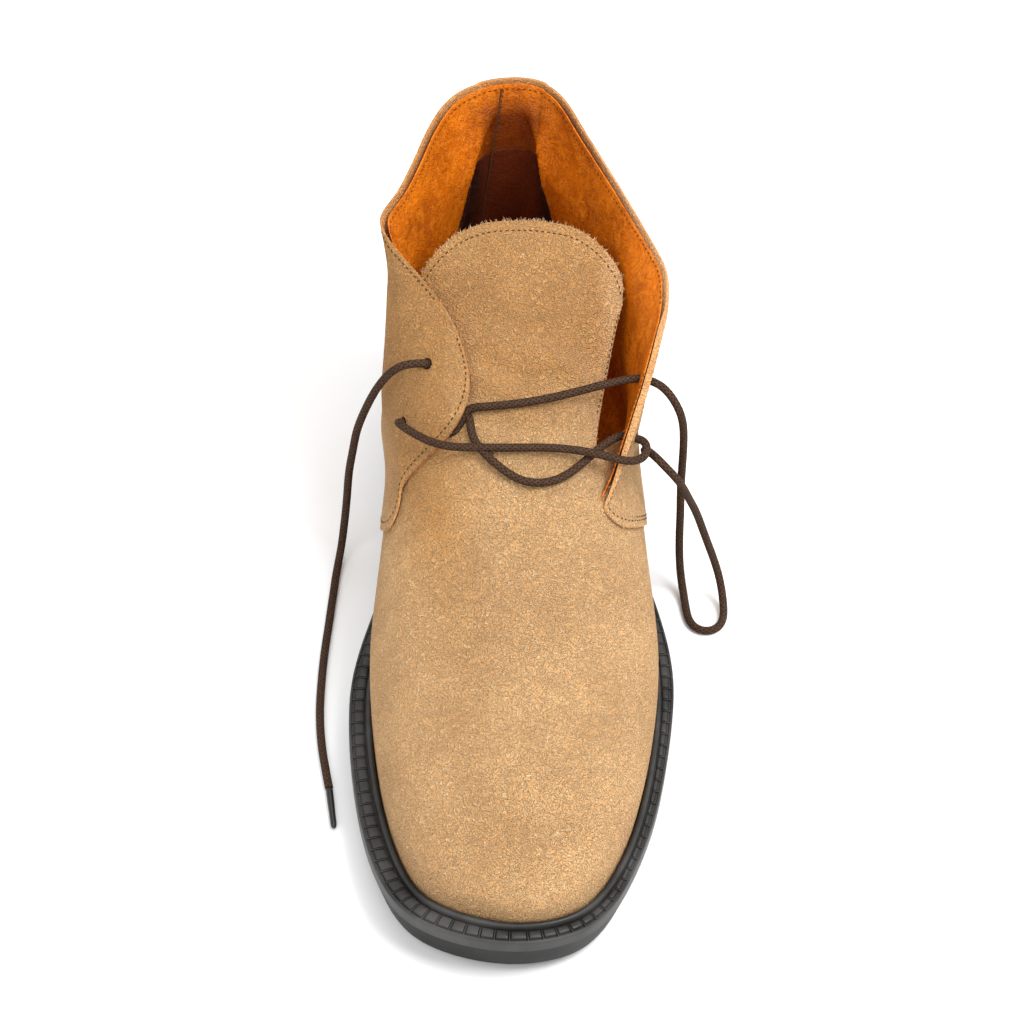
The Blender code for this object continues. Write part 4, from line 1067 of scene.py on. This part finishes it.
def tongue_seams(tongue):
    """Rows of thread beside the two sides and the top of the tongue."""
    grid = tongue.grid
    height, width = np.arange(grid.shape[0]), np.arange(grid.shape[1])
    seams = []
    for side, low in ((1, 0.25), (-1, 0.45)):
        rows = height[int(low * len(grid)):]
        inset = [np.interp(TONGUE_SEAM_SIDE, arc_lengths(grid[j, ::-side]), width) for j in rows]
        columns = np.array(inset) if side < 0 else width[-1] - np.array(inset)
        to_top = np.array([arc_lengths(grid[j:, int(round(c))])[-1] for j, c in zip(rows, columns)])
        kept = to_top > 0.0040
        seams.append(tongue.at(rows[kept], columns[kept]))
    inset = [np.interp(TONGUE_SEAM_TOP, arc_lengths(grid[::-1, i]), height) for i in width]
    rows = height[-1] - np.array(inset)
    lengths = np.array([arc_lengths(grid[int(j)]) for j in rows])
    from_side = np.minimum(lengths[width, width], lengths[:, -1] - lengths[width, width])
    kept = from_side > 0.0024
    return seams + [tongue.at(rows[kept], width[kept])]


def nap_edges(sheet, tongue):
    """Cut edges: points, directions outward, normals, hairs for each metre and their reach."""
    edges = []
    for skin, axis, end, per_metre, reach in (
            (sheet, 1, -1, 900, 0.0010), (sheet, 0, 0, 1100, 0.0011), (sheet, 0, -1, 1100, 0.0011),
            (tongue, 0, -1, 3400, 0.0022), (tongue, 1, -1, 900, 0.0010), (tongue, 1, 0, 900, 0.0010)):
        line = skin.grid.take(end, axis)
        beside = skin.grid.take(1 if end == 0 else -2, axis)
        edges.append((line, unit(line - beside), skin.normals.take(end, axis), per_metre, reach))
    return edges


def add_sewing(sheet, face, tongue, thread, lining_thread, nap):
    """Rows of thread, the seam up the back of the lining, and the nap of the cut edges."""
    top, column, lean = BACK_SEAM
    rows = np.linspace(2.6, top + 0.05, 160)
    line = face.at(*face.net_line(column + lean * (top - rows), rows), LINING + 0.0012)[0]
    seam = tube("back_seam", line, BACK_SEAM_RADIUS, thread, around=6)
    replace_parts(seam, "upper")
    outside, inside = quarter_seams(sheet, face)
    outside += tongue_seams(tongue)
    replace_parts(stitches(outside, "suede_stitches", thread), "upper")
    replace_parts(stitches(inside, "lining_stitches", lining_thread), "upper")
    edges = nap_edges(sheet, tongue)
    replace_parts(hairs(edges, "edge_nap", nap, np.random.default_rng(HAIR_SEED)), "upper")


# Rings round the sole
def arc_of_rim():
    steps = np.linalg.norm(np.roll(RIM_POINTS, -1, axis=0) - RIM_POINTS, axis=1)
    return np.concatenate([[0], np.cumsum(steps)])


RIM_ARC = arc_of_rim()


def places_at_arc(arc):
    """Places on the rim at distances round it from the toe tip."""
    return np.interp(np.mod(arc, RIM_ARC[-1]), RIM_ARC, np.arange(len(RIM_ARC)))


def plan_at(places, inset):
    """Points of the rim at some places, moved inward."""
    insets = np.broadcast_to(inset, (len(places),))
    return np.array([on_outline(RIM_POINTS, p) - on_outline(RIM_OUT, p) * d for p, d in zip(places, insets)])


def foot_inset(places):
    """Distance from the rim to the foot of the upper."""
    rim = np.array([on_outline(RIM_POINTS, p) for p in places])
    foot = np.array([on_outline(FEATHER, p) for p in places])
    return np.linalg.norm(rim - foot, axis=1)


def quarter_seat(y):
    """Extra room for the quarters, whose foot stands one step proud of the vamp's."""
    seam = QUARTERS[0][1] * LENGTH
    return OVERLAP_STEP * smooth_step((y - seam + 0.04 * LENGTH) / (0.03 * LENGTH))


# One divider of the welt, along the rim: distance from its middle and height of the band, in metres
DIVIDER = (
    (0.00000, -0.00010),
    (0.00018, -0.00012),
    (0.00026, -0.00080),
    (0.00044, -0.00090),
    (0.00052, -0.00020),
    (0.00070, 0.00000),
    (0.00150, 0.00006),
)


def welt_stations():
    """Round the rim: arc place, height of the band there, distance from the nearest divider's middle."""
    count = int(RIM_ARC[-1] / BLOCK_PITCH)
    stations = []
    for k in range(count):
        middle = (k + 0.5) * BLOCK_PITCH
        pitch = BLOCK_PITCH if k < count - 1 else RIM_ARC[-1] - (count - 1) * BLOCK_PITCH
        stations += [(middle + away, height, away) for away, height in DIVIDER]
        stations.append((middle + pitch / 2, 0.00007, pitch / 2))
        stations += [(middle + pitch - away, height, away) for away, height in DIVIDER[:0:-1]]
    return np.array(stations).T


def welt_profile(places, rise, divider):
    """Section of the welt at each place: insets and heights, up the side and over to the upper."""
    rim_y = plan_at(places, 0.0)[:, 1]
    ahead = 1 - smooth_step((rim_y - (LENGTH / 2 - HEEL_LENGTH)) / 0.002)
    rise = rise * ahead
    inner = foot_inset(places) - GAP - FACET_SLACK - quarter_seat(rim_y)
    band = inner - RIB_WIDTH
    base = platform(rim_y) + GAP
    top = base + WELT_THICKNESS
    lip = top - LIP_DROP + 0.0003
    floor = top - GUTTER * ahead
    # A divider runs out to the lip, and a block stops short of it
    is_divider = (divider < 0.0003) * ahead > 0.5
    at_end = np.where(is_divider, top + rise, floor)
    outer_end = LIP_WIDTH + GUTTER
    return (
        (0.0, base),
        (0.0, base + 0.3 * (lip - base)),
        (0.0, base + 0.6 * (lip - base)),
        (0.0, lip - 0.0005),
        (0.00010, lip - 0.00015),
        (0.00035, lip),
        (LIP_WIDTH - 0.0002, lip - 0.00005),
        (LIP_WIDTH, at_end),
        (outer_end - 0.00025, at_end),
        (outer_end, top + rise - np.where(is_divider, 0.0, 0.0002)),
        (outer_end + 0.0003, top + rise),
        (outer_end + 0.35 * (band - outer_end), top + rise + 0.00006),
        (outer_end + 0.65 * (band - outer_end), top + rise + 0.00006),
        (band - 0.0004, top + rise),
        (band - 0.0002, top + rise - 0.0002),
        (band - 0.00012, floor),
        (band + 0.00025, floor),
        (band + 0.0004, top + 0.55 * RIB_RISE),
        (band + 0.00075, top + 0.90 * RIB_RISE),
        (band + 0.0012, top + RIB_RISE),
        (inner - 0.0010, top + RIB_RISE),
        (inner - 0.0005, top + 0.90 * RIB_RISE),
        (inner - 0.00015, top + 0.6 * RIB_RISE),
        (inner, top + 0.2 * RIB_RISE),
        (inner, base),
    )


def make_welt(rubber):
    """Storm welt: a ring of one moulded section, cut into blocks ahead of the heel."""
    arc, rise, divider = welt_stations()
    places = places_at_arc(arc)
    profile = welt_profile(places, rise, divider)
    rings = [np.column_stack([plan_at(places, inset), height]) for inset, height in profile]
    faces = grid_faces(len(places), len(profile), closed=True, looped=True)
    points = np.stack(rings, axis=1).reshape(-1, 3)
    welt = add_piece("storm_welt", points, faces, [rubber])
    orient_closed(welt)
    welt.data.set_sharp_from_angle(angle=math.radians(42))
    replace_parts(welt, "welt")


def shank(y):
    """Underside of the sole's body: ground under the forepart, then up to the arch and over the heel."""
    front = -0.05 * LENGTH
    breast = LENGTH / 2 - HEEL_LENGTH
    rise = smooth_step((y - front) / (breast - front))
    return ground(y) + ARCH_RISE * rise


SOLE_STATIONS = 181
HEEL_STATIONS = 90
SOLE_FOOT = 0.12 * OUTSOLE_THICKNESS


def mirrored_places(stations, pointed):
    """Rim places down the outer side and back up the inner one; a pointed ring starts at one tip."""
    outer = [place_at(1, y, RIM_POINTS) for y in stations]
    inner = [place_at(-1, y, RIM_POINTS) for y in stations[int(pointed):-1][::-1]]
    return np.array(outer + inner)


def cap_faces(base, count, pointed):
    """Faces across a ring of mirrored pairs of points."""
    half = count // 2
    mate = base + (count if pointed else count - 1)
    faces = [(base, base + 1, base + count - 1)] if pointed else []
    for i in range(int(pointed), half - 1):
        faces.append((base + i, base + i + 1, mate - i - 1, mate - i))
    faces.append((base + half - 1, base + half, base + half + 1))
    return faces


def stacked(name, stations, pointed, layers, rubber):
    """Closed solid of rings round the rim: each has an inset, and a height or its rule from y."""
    places = mirrored_places(stations, pointed)
    count = len(places)
    points = []
    for inset, height in layers:
        plan = plan_at(places, inset)
        level = height(plan[:, 1]) if callable(height) else np.full(count, height)
        points.append(np.column_stack([plan, level]))
    top = [face[::-1] for face in cap_faces((len(layers) - 1) * count, count, pointed)]
    faces = cap_faces(0, count, pointed) + top + ring_faces(len(layers), count)
    piece = add_piece(name, np.vstack(points), faces, [rubber])
    orient_closed(piece)
    return piece


def side_height(share):
    """Rule for the height of a ring on the side of the sole, from its foot (0) to its top (1)."""
    return lambda y: shank(y) + SOLE_FOOT + (platform(y) + GAP - shank(y) - SOLE_FOOT) * share


def make_outsole(rubber):
    """Body and heel of the sole, with the tread cut into both."""
    body_layers = (
        (SIDE_DRAFT + 0.0012, shank),
        (SIDE_DRAFT + 0.0004, lambda y: shank(y) + 0.25 * SOLE_FOOT),
        (SIDE_DRAFT, side_height(0.0)),
        (SIDE_DRAFT * 0.66, side_height(0.33)),
        (SIDE_DRAFT * 0.33, side_height(0.66)),
        (0.0, side_height(1.0)),
    )
    heel_layers = (
        (SIDE_DRAFT + 0.0022, 0.0),
        (SIDE_DRAFT + 0.0011, 0.0003),
        (SIDE_DRAFT + 0.0008, 0.0012),
        (SIDE_DRAFT + 0.0004, 0.0060),
        (SIDE_DRAFT * 0.55, ARCH_RISE + 0.003),
    )
    body_at = -LENGTH / 2 * np.cos(np.linspace(0, math.pi, SOLE_STATIONS))
    heel_at = LENGTH / 2 - HEEL_LENGTH + HEEL_LENGTH * np.sin(np.linspace(0, math.pi / 2, HEEL_STATIONS))
    body = stacked("outsole_body", body_at, True, body_layers, rubber)
    heel = stacked("heel_block", heel_at, False, heel_layers, rubber)
    grooves = lug_grooves()
    for piece in (body, heel):
        cut = piece.modifiers.new("tread", "BOOLEAN")
        cut.operation = "DIFFERENCE"
        cut.solver = "EXACT"
        cut.object = grooves
        apply_modifiers(piece)
        piece.data.set_sharp_from_angle(angle=math.radians(38))
        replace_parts(piece, "outsole")
    bpy.data.objects.remove(grooves)


def apply_modifiers(piece):
    """Makes the mesh what its modifiers show."""
    graph = bpy.context.evaluated_depsgraph_get()
    mesh = bpy.data.meshes.new_from_object(piece.evaluated_get(graph))
    piece.modifiers.clear()
    piece.data = mesh


def lug_grooves():
    """Boxes to cut the tread with: bars across the forepart and the heel."""
    bm = bmesh.new()
    fore = np.arange(-0.41 * LENGTH, -0.07 * LENGTH, LUG_PITCH)
    heel = np.arange(LENGTH / 2 - HEEL_LENGTH + LUG_PITCH, LENGTH / 2 - 1.2 * LUG_MARGIN, LUG_PITCH)
    for y in np.concatenate([fore, heel]):
        outer = on_outline(RIM_POINTS, place_at(1, y, RIM_POINTS))[0] - LUG_MARGIN
        inner = on_outline(RIM_POINTS, place_at(-1, y, RIM_POINTS))[0] + LUG_MARGIN
        made = bmesh.ops.create_cube(bm, size=1.0)["verts"]
        bmesh.ops.scale(bm, verts=made, vec=(outer - inner, LUG_GROOVE, 2 * LUG_DEPTH))
        bmesh.ops.translate(bm, verts=made, vec=((outer + inner) / 2, y, float(ground(y))))
    mesh = bpy.data.meshes.new("grooves")
    bm.to_mesh(mesh)
    bm.free()
    grooves = link("grooves", mesh)
    grooves.hide_render = True
    return grooves


# Laces
LACE_STEP = 0.0005
LACE_AROUND = 18
LACE_RADIUS = LACE_DIAMETER / 2
TIP_STEP = 0.0006


def sideways(path):
    """Two unit directions across a path that don't twist along it."""
    tangents = np.gradient(path, axis=0)
    tangents /= np.linalg.norm(tangents, axis=1)[:, None]
    side = np.cross(tangents[0], (0.3, 0.2, 0.9))
    side /= np.linalg.norm(side)
    sides = []
    for tangent in tangents:
        side = side - tangent * (side @ tangent)
        side /= np.linalg.norm(side)
        sides.append(side)
    return np.array(sides), np.cross(tangents, sides)


def tube(name, path, radii, material, around=LACE_AROUND):
    """Closed tube of round rings along a path, with a map of its turn and its length."""
    sides, ups = sideways(path)
    count = len(path)
    length = arc_lengths(path)
    turn = np.linspace(0, 2 * math.pi, around, endpoint=False)[None, :, None]
    ring = np.cos(turn) * sides[:, None] + np.sin(turn) * ups[:, None]
    points = path[:, None] + ring * np.broadcast_to(radii, (count,))[:, None, None]
    faces = ring_faces(count, around)
    faces.append(tuple(range(around))[::-1])
    faces.append(tuple((count - 1) * around + j for j in range(around)))
    piece = add_piece(name, points.reshape(-1, 3), faces, [material])
    values = []
    for i in range(count - 1):
        for j in range(around):
            for step, turn_at in ((0, j), (0, j + 1), (1, j + 1), (1, j)):
                values += [turn_at / around, length[i + step]]
    values += [0.0, 0.0] * (2 * around)
    piece.data.uv_layers.new(name="run").data.foreach_set("uv", values)
    orient_closed(piece)
    return piece


def under_flap(column, row, depth):
    """A point under the inner facing, below its lining."""
    centre, way = eyelet_frame(-1, column, row)
    return centre - way * (WALL + depth)


def crossing_route():
    """Middle of the lace, from the inner high hole under the facing and twice over the tongue to the
    outer high hole."""
    holes = eyelet_places()
    first, first_way = holes["inner high"]
    second, second_way = holes["inner low"]
    last, last_way = holes["outer high"]
    depth = LACE_RADIUS + 0.0002
    route = [first + first_way * 0.0006, first - first_way * 0.0012]
    route += [under_flap(column, row, depth + extra) for column, row, extra in FLAP_DOWN]
    route += LOW_CROSSING
    route += [second + second_way * 0.0008, second - second_way * 0.0012]
    route += [under_flap(column, row, depth + extra) for column, row, extra in FLAP_UP]
    route += HIGH_CROSSING
    route += [last - last_way * 0.0024, last + last_way * 0.0004]
    return np.array(route)


def end_route(hole, points):
    """Route of a lace end out of its hole."""
    centre, way = eyelet_places()[hole]
    return np.array([centre + way * 0.0006, centre + way * 0.0016, *points])


def relaxed(path, passes=60):
    """Eases the tightest bends of a fine path, with its ends held."""
    for _ in range(passes):
        path[1:-1] = path[1:-1] / 2 + (path[:-2] + path[2:]) / 4
    return path


def on_floor(path):
    """Lifts a lace's path where it would sink into the floor."""
    path = path.copy()
    path[:, 2] = np.maximum(path[:, 2], LACE_RADIUS + GAP / 2)
    return path


def make_laces(cord, tip):
    """The lace over the tongue, its two ends, and their tips."""
    crossing = smooth_route(crossing_route(), LACE_STEP)
    middle = tube("lace_over_tongue", crossing, LACE_RADIUS, cord)
    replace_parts(middle, "lace_crossings")
    for name, hole, points, tip_points, node, tip_node in (
            ("lace_free_end", "inner high", INNER_END, INNER_TIP, "lace_end_inner", "aglet_inner"),
            ("lace_side_loop", "outer high", OUTER_LOOP, OUTER_TIP, "lace_loop_outer", "aglet_outer")):
        path = on_floor(relaxed(smooth_route(end_route(hole, points), LACE_STEP)))
        strand = tube(name, path, LACE_RADIUS, cord)
        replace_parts(strand, node)
        tip_path = on_floor(resample(tip_points, TIP_STEP))
        along = np.linspace(0, 1, len(tip_path))
        swell = 0.92 + 0.08 * np.cos(along * math.pi) - 0.25 * smooth_step((along - 0.94) / 0.06)
        aglet = tube(name + "_aglet", tip_path, AGLET_DIAMETER / 2 * swell, tip)
        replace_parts(aglet, tip_node)


# Materials: colours in linear light, from deep to pale
SUEDE_COLOURS = ((0.53, 0.275, 0.105), (0.76, 0.435, 0.188), (1.0, 0.74, 0.42))
CUT_COLOURS = ((0.66, 0.30, 0.105), (0.88, 0.45, 0.18), (1.0, 0.68, 0.36))
RAW_COLOURS = ((0.30, 0.13, 0.045), (0.40, 0.19, 0.07), (0.5, 0.27, 0.12))
SADDLE_COLOURS = ((0.42, 0.086, 0.001), (0.66, 0.158, 0.003), (0.90, 0.27, 0.015))
# The heel pocket: mostly painted shade of the heel cup, over leather a little darker than the lining
POCKET_LEATHER_AND_SHADE_COLOURS = ((0.012, 0.002, 0.0005), (0.026, 0.004, 0.0008), (0.05, 0.008, 0.001))
SOLE_COLOURS = ((0.0060, 0.0055, 0.0052), (0.012, 0.0112, 0.0105))
WELT_COLOURS = ((0.018, 0.0172, 0.0165), (0.052, 0.050, 0.048))
CORD_COLOURS = ((0.014, 0.0065, 0.0035), (0.105, 0.056, 0.032))
# Colour the suede is multiplied by on its high parts, and as painted shade on the inner facing
SUEDE_SHADE = (0.80, 0.68, 0.49)
BACK_SHADE = (0.12, 0.017, 0.001)
STRANDS = 6
BRAID_PITCH = 0.0019


def add_node(tree, kind, inputs=(), **settings):
    node = tree.nodes.new(kind)
    for key, value in settings.items():
        setattr(node, key, value)
    for key, value in dict(inputs).items():
        if isinstance(value, bpy.types.NodeSocket):
            tree.links.new(value, node.inputs[key])
        else:
            node.inputs[key].default_value = value
    return node


def new_material(name, roughness, specular=0.3):
    material = bpy.data.materials.new(name)
    material.use_nodes = True
    tree = material.node_tree
    shader = tree.nodes["Principled BSDF"]
    shader.inputs["Roughness"].default_value = roughness
    shader.inputs["Specular IOR Level"].default_value = specular
    return material, tree, shader


def noise_value(tree, where, scale, detail=2.0, roughness=0.5, distortion=0.0):
    return add_node(tree, "ShaderNodeTexNoise", {"Vector": where, "Scale": scale, "Detail": detail,
                    "Roughness": roughness, "Distortion": distortion}).outputs["Fac"]


def maths(tree, operation, first, second=0.0, clamp=False):
    node = add_node(tree, "ShaderNodeMath", {0: first, 1: second}, operation=operation, use_clamp=clamp)
    return node.outputs[0]


def blended(tree, *parts, clamp=False):
    """Sum of values, each times its weight."""
    total = None
    for value, weight in parts:
        part = maths(tree, "MULTIPLY", value, weight)
        total = part if total is None else maths(tree, "ADD", total, part, clamp)
    return total


def mapped(tree, value, low, high, to_low=0.0, to_high=1.0):
    return add_node(tree, "ShaderNodeMapRange", {"Value": value, "From Min": low, "From Max": high,
                    "To Min": to_low, "To Max": to_high}).outputs["Result"]


def mixed(tree, share, first, second, blend="MIX"):
    node = add_node(tree, "ShaderNodeMix", data_type="RGBA", blend_type=blend)
    for key, value in ((0, share), (6, first), (7, second)):
        if isinstance(value, bpy.types.NodeSocket):
            tree.links.new(value, node.inputs[key])
        else:
            node.inputs[key].default_value = (*value, 1.0) if isinstance(value, tuple) else value
    return node.outputs[2]


def ridge_lines(tree, where, scale, width, distortion):
    """Thin curling lines where a noise crosses its middle value."""
    value = noise_value(tree, where, scale, 0.0, 0.5, distortion)
    away = maths(tree, "ABSOLUTE", maths(tree, "SUBTRACT", value, 0.5))
    return mapped(tree, away, 0.0, width, 1.0, 0.0)


def bump(tree, shader, height, strength, distance):
    node = add_node(tree, "ShaderNodeBump", {"Height": height, "Strength": strength, "Distance": distance})
    tree.links.new(node.outputs["Normal"], shader.inputs["Normal"])


def object_place(tree):
    return tree.nodes.new("ShaderNodeTexCoord").outputs["Object"]


def place_axes(tree, where):
    return add_node(tree, "ShaderNodeSeparateXYZ", {0: where}).outputs


def finish_material(tree, shader, colour, height, strength, distance):
    tree.links.new(colour, shader.inputs["Base Color"])
    bump(tree, shader, height, strength, distance)


def darker_high_parts_and_shaded_facing(tree, where, colour):
    """Darker, deeper colour than the vamp on the high parts, such as the tongue, and on the inner facing. On
    the inner facing it is painted shade, as that side turns away from the key lamp on the right; on the high
    parts it only darkens them.
    """
    x, _, z = place_axes(tree, where)
    high = mapped(tree, z, 0.60 * BACK_HEIGHT, 0.70 * BACK_HEIGHT, 0.0, 0.80)
    facing = maths(tree, "MULTIPLY", mapped(tree, x, -0.15 * HALF, -0.45 * HALF),
                   mapped(tree, z, 0.38 * BACK_HEIGHT, 0.50 * BACK_HEIGHT))
    shade = maths(tree, "MULTIPLY", maths(tree, "MAXIMUM", high, facing),
                  mapped(tree, x, 0.62 * HALF, 0.52 * HALF))
    # Painted shade on the inner facing, plain darkening on the high parts
    return mixed(tree, shade, colour, SUEDE_SHADE, "MULTIPLY")


def suede_material(name, deep, base, pale, nap=1.0):
    """Suede: curls of nap in light and dark, with pits between them and slow patches."""
    material, tree, shader = new_material(name, 0.92, 0.12)
    where = object_place(tree)
    level = noise_value(tree, where, 320.0, 1.0, 0.4, 0.3)
    curls = maths(tree, "SINE", maths(tree, "MULTIPLY", level, 2 * math.pi * 7.0))
    curls = mapped(tree, curls, 0.25, 1.0)
    fine = ridge_lines(tree, where, 1150.0, 0.11, 0.6)
    grain = noise_value(tree, where, 1700.0, 3.0, 0.7)
    patches = noise_value(tree, where, 42.0, 4.0, 0.62)
    wide = noise_value(tree, where, 13.0, 2.0, 0.5)
    tone = blended(tree, (patches, 0.6), (wide, 0.4))
    colour = mixed(tree, mapped(tree, tone, 0.36, 0.62), deep, base)
    colour = mixed(tree, blended(tree, (curls, 0.34), (fine, 0.24), clamp=True), colour, pale)
    colour = mixed(tree, mapped(tree, grain, 0.36, 0.54, 0.80, 0.0), colour, tuple(0.72 * c for c in deep))
    shader.inputs["Sheen Weight"].default_value = 0.14
    shader.inputs["Sheen Roughness"].default_value = 0.45
    shader.inputs["Sheen Tint"].default_value = (1.0, 0.86, 0.68, 1.0)
    height = blended(tree, (curls, 1.1), (fine, 0.4), (grain, 0.9))
    finish_material(tree, shader, darker_high_parts_and_shaded_facing(tree, where, colour), height, nap, 0.00090)
    return material


def leather_material(name, deep, base, pale, roughness):
    """Smooth leather with folds, wrinkles and grain, with painted shade at the back below the collar."""
    material, tree, shader = new_material(name, roughness, 0.24)
    where = object_place(tree)
    patches = noise_value(tree, where, 55.0, 4.0, 0.6)
    cells = add_node(tree, "ShaderNodeTexVoronoi", {"Vector": where, "Scale": 900.0},
                     feature="DISTANCE_TO_EDGE").outputs["Distance"]
    folds = noise_value(tree, where, 190.0, 3.0, 0.6, 1.2)
    wrinkles = ridge_lines(tree, where, 260.0, 0.06, 2.2)
    colour = mixed(tree, mapped(tree, patches, 0.35, 0.65), deep, base)
    colour = mixed(tree, mapped(tree, folds, 0.45, 0.70, 0.0, 0.50), colour, pale)
    colour = mixed(tree, maths(tree, "MULTIPLY", wrinkles, 0.45), colour, tuple(0.7 * c for c in deep))
    # Painted shade down the back of the heel, below the collar
    _, y, z = place_axes(tree, where)
    back = mapped(tree, y, 0.447 * LENGTH, 0.463 * LENGTH)
    low = mapped(tree, z, 0.975 * BACK_HEIGHT, 0.90 * BACK_HEIGHT, 0.0, 0.90)
    colour = mixed(tree, maths(tree, "MULTIPLY", back, low), colour, BACK_SHADE)
    height = blended(tree, (folds, 1.2), (mapped(tree, cells, 0.0, 0.25), 0.25), (wrinkles, -0.5))
    finish_material(tree, shader, colour, height, 0.7, 0.0006)
    return material


def rubber_material(name, base, pale, roughness, specular):
    """Rubber with faint clouds in its colour and its gloss."""
    material, tree, shader = new_material(name, roughness, specular)
    where = object_place(tree)
    fine = noise_value(tree, where, 1800.0, 3.0, 0.65)
    cloud = noise_value(tree, where, 60.0, 3.0, 0.6)
    rough = mapped(tree, cloud, 0.3, 0.7, roughness - 0.06, roughness + 0.08)
    tree.links.new(rough, shader.inputs["Roughness"])
    colour = mixed(tree, mapped(tree, cloud, 0.35, 0.7), base, pale)
    finish_material(tree, shader, colour, fine, 0.30, 0.00008)
    return material


def cord_material(name, base, pale):
    """Braided cord: two families of strands wind round it both ways."""
    material, tree, shader = new_material(name, 0.78, 0.14)
    run = place_axes(tree, tree.nodes.new("ShaderNodeUVMap").outputs["UV"])
    turn = maths(tree, "MULTIPLY", run[0], 2 * math.pi * STRANDS)
    along = maths(tree, "MULTIPLY", run[1], 2 * math.pi / BRAID_PITCH)
    weave = maths(tree, "MAXIMUM", maths(tree, "SINE", maths(tree, "ADD", turn, along)),
                  maths(tree, "SINE", maths(tree, "SUBTRACT", turn, along)))
    fibre = noise_value(tree, object_place(tree), 1300.0, 3.0, 0.75)
    shade = blended(tree, (weave, 0.28), (fibre, 1.4))
    colour = mixed(tree, mapped(tree, shade, 0.55, 1.35), base, pale)
    finish_material(tree, shader, colour, shade, 0.5, 0.00012)
    return material


def plain_material(name, base, roughness, specular):
    """One colour with a fine grain."""
    material, tree, shader = new_material(name, roughness, specular)
    fine = noise_value(tree, object_place(tree), 1500.0, 2.0, 0.6)
    colour = mixed(tree, mapped(tree, fine, 0.3, 0.7), tuple(0.7 * c for c in base), base)
    finish_material(tree, shader, colour, fine, 0.3, 0.00005)
    return material


# Floor and light: name, place, size and power of each lamp
FLOOR_HALF = 3.0
FLOOR_COLOUR = (0.93, 0.93, 0.93, 1.0)
WORLD_STRENGTH = 0.68
LIGHTS = (
    ("key from the right", (0.85, -0.35, 1.6), 0.9, 31.0),
    ("fill from the front left", (-0.7, -1.3, 1.5), 1.3, 17.0),
    ("top", (0.0, 0.6, 1.9), 1.4, 13.0),
)


def add_floor():
    mesh = bpy.data.meshes.new("floor")
    corners = [(x * FLOOR_HALF, y * FLOOR_HALF, 0) for x, y in ((-1, -1), (1, -1), (1, 1), (-1, 1))]
    mesh.from_pydata(corners, [], [(0, 1, 2, 3)])
    material, _, shader = new_material("pale floor", 0.9, 0.1)
    shader.inputs["Base Color"].default_value = FLOOR_COLOUR
    mesh.materials.append(material)
    link("floor", mesh)


def add_lights():
    world = bpy.data.worlds.new("soft white")
    world.use_nodes = True
    background = world.node_tree.nodes["Background"]
    background.inputs["Color"].default_value = (1.0, 1.0, 1.0, 1.0)
    background.inputs["Strength"].default_value = WORLD_STRENGTH
    bpy.context.scene.world = world
    for name, place, size, energy in LIGHTS:
        data = bpy.data.lights.new(name, "AREA")
        data.shape = "SQUARE"
        data.size = size
        data.energy = energy
        light = link(name, data)
        light.location = place
        light.rotation_euler = (Vector((0, 0, 0.05)) - Vector(place)).to_track_quat("-Z", "Y").to_euler()


def main():
    bpy.context.scene.view_settings.view_transform = "Standard"
    add_camera()
    add_floor()
    add_lights()
    make_laces(cord_material("brown waxed cord", *CORD_COLOURS),
               plain_material("brown lace tip", (0.012, 0.009, 0.008), 0.35, 0.5))
    suede = suede_material("tan suede", *SUEDE_COLOURS)
    edge = suede_material("cut suede", *CUT_COLOURS, nap=0.8)
    raw = leather_material("raw leather inside", *RAW_COLOURS, 0.7)
    saddle = leather_material("saddle leather", *SADDLE_COLOURS, 0.42)
    # Heel pocket leather, near-black with painted shade of the heel cup
    counter = leather_material("heel pocket leather and painted shade", *POCKET_LEATHER_AND_SHADE_COLOURS, 0.62)
    # Stitch thread: its own brown, darkened with painted shade of the grooves it lies in
    thread = plain_material("brown thread and painted groove shade", (0.085, 0.036, 0.014), 0.7, 0.2)
    lining_thread = plain_material("russet thread", (0.16, 0.045, 0.008), 0.7, 0.2)
    nap = plain_material("loose nap", (0.80, 0.55, 0.32), 0.9, 0.1)
    make_outsole(rubber_material("black sole rubber", *SOLE_COLOURS, 0.5, 0.14))
    make_welt(rubber_material("black welt rubber", *WELT_COLOURS, 0.45, 0.34))
    tongue = make_vamp([suede, edge, raw])
    sheet = quarter_grid()
    face = lining_face(sheet)
    make_quarters(sheet, [suede, edge])
    make_lining(sheet, face, saddle)
    make_heel_pocket(face, counter)
    add_sewing(sheet, face, tongue, thread, lining_thread, nap)
    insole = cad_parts["insole"].data.materials
    insole.clear()
    insole.append(saddle)


main()
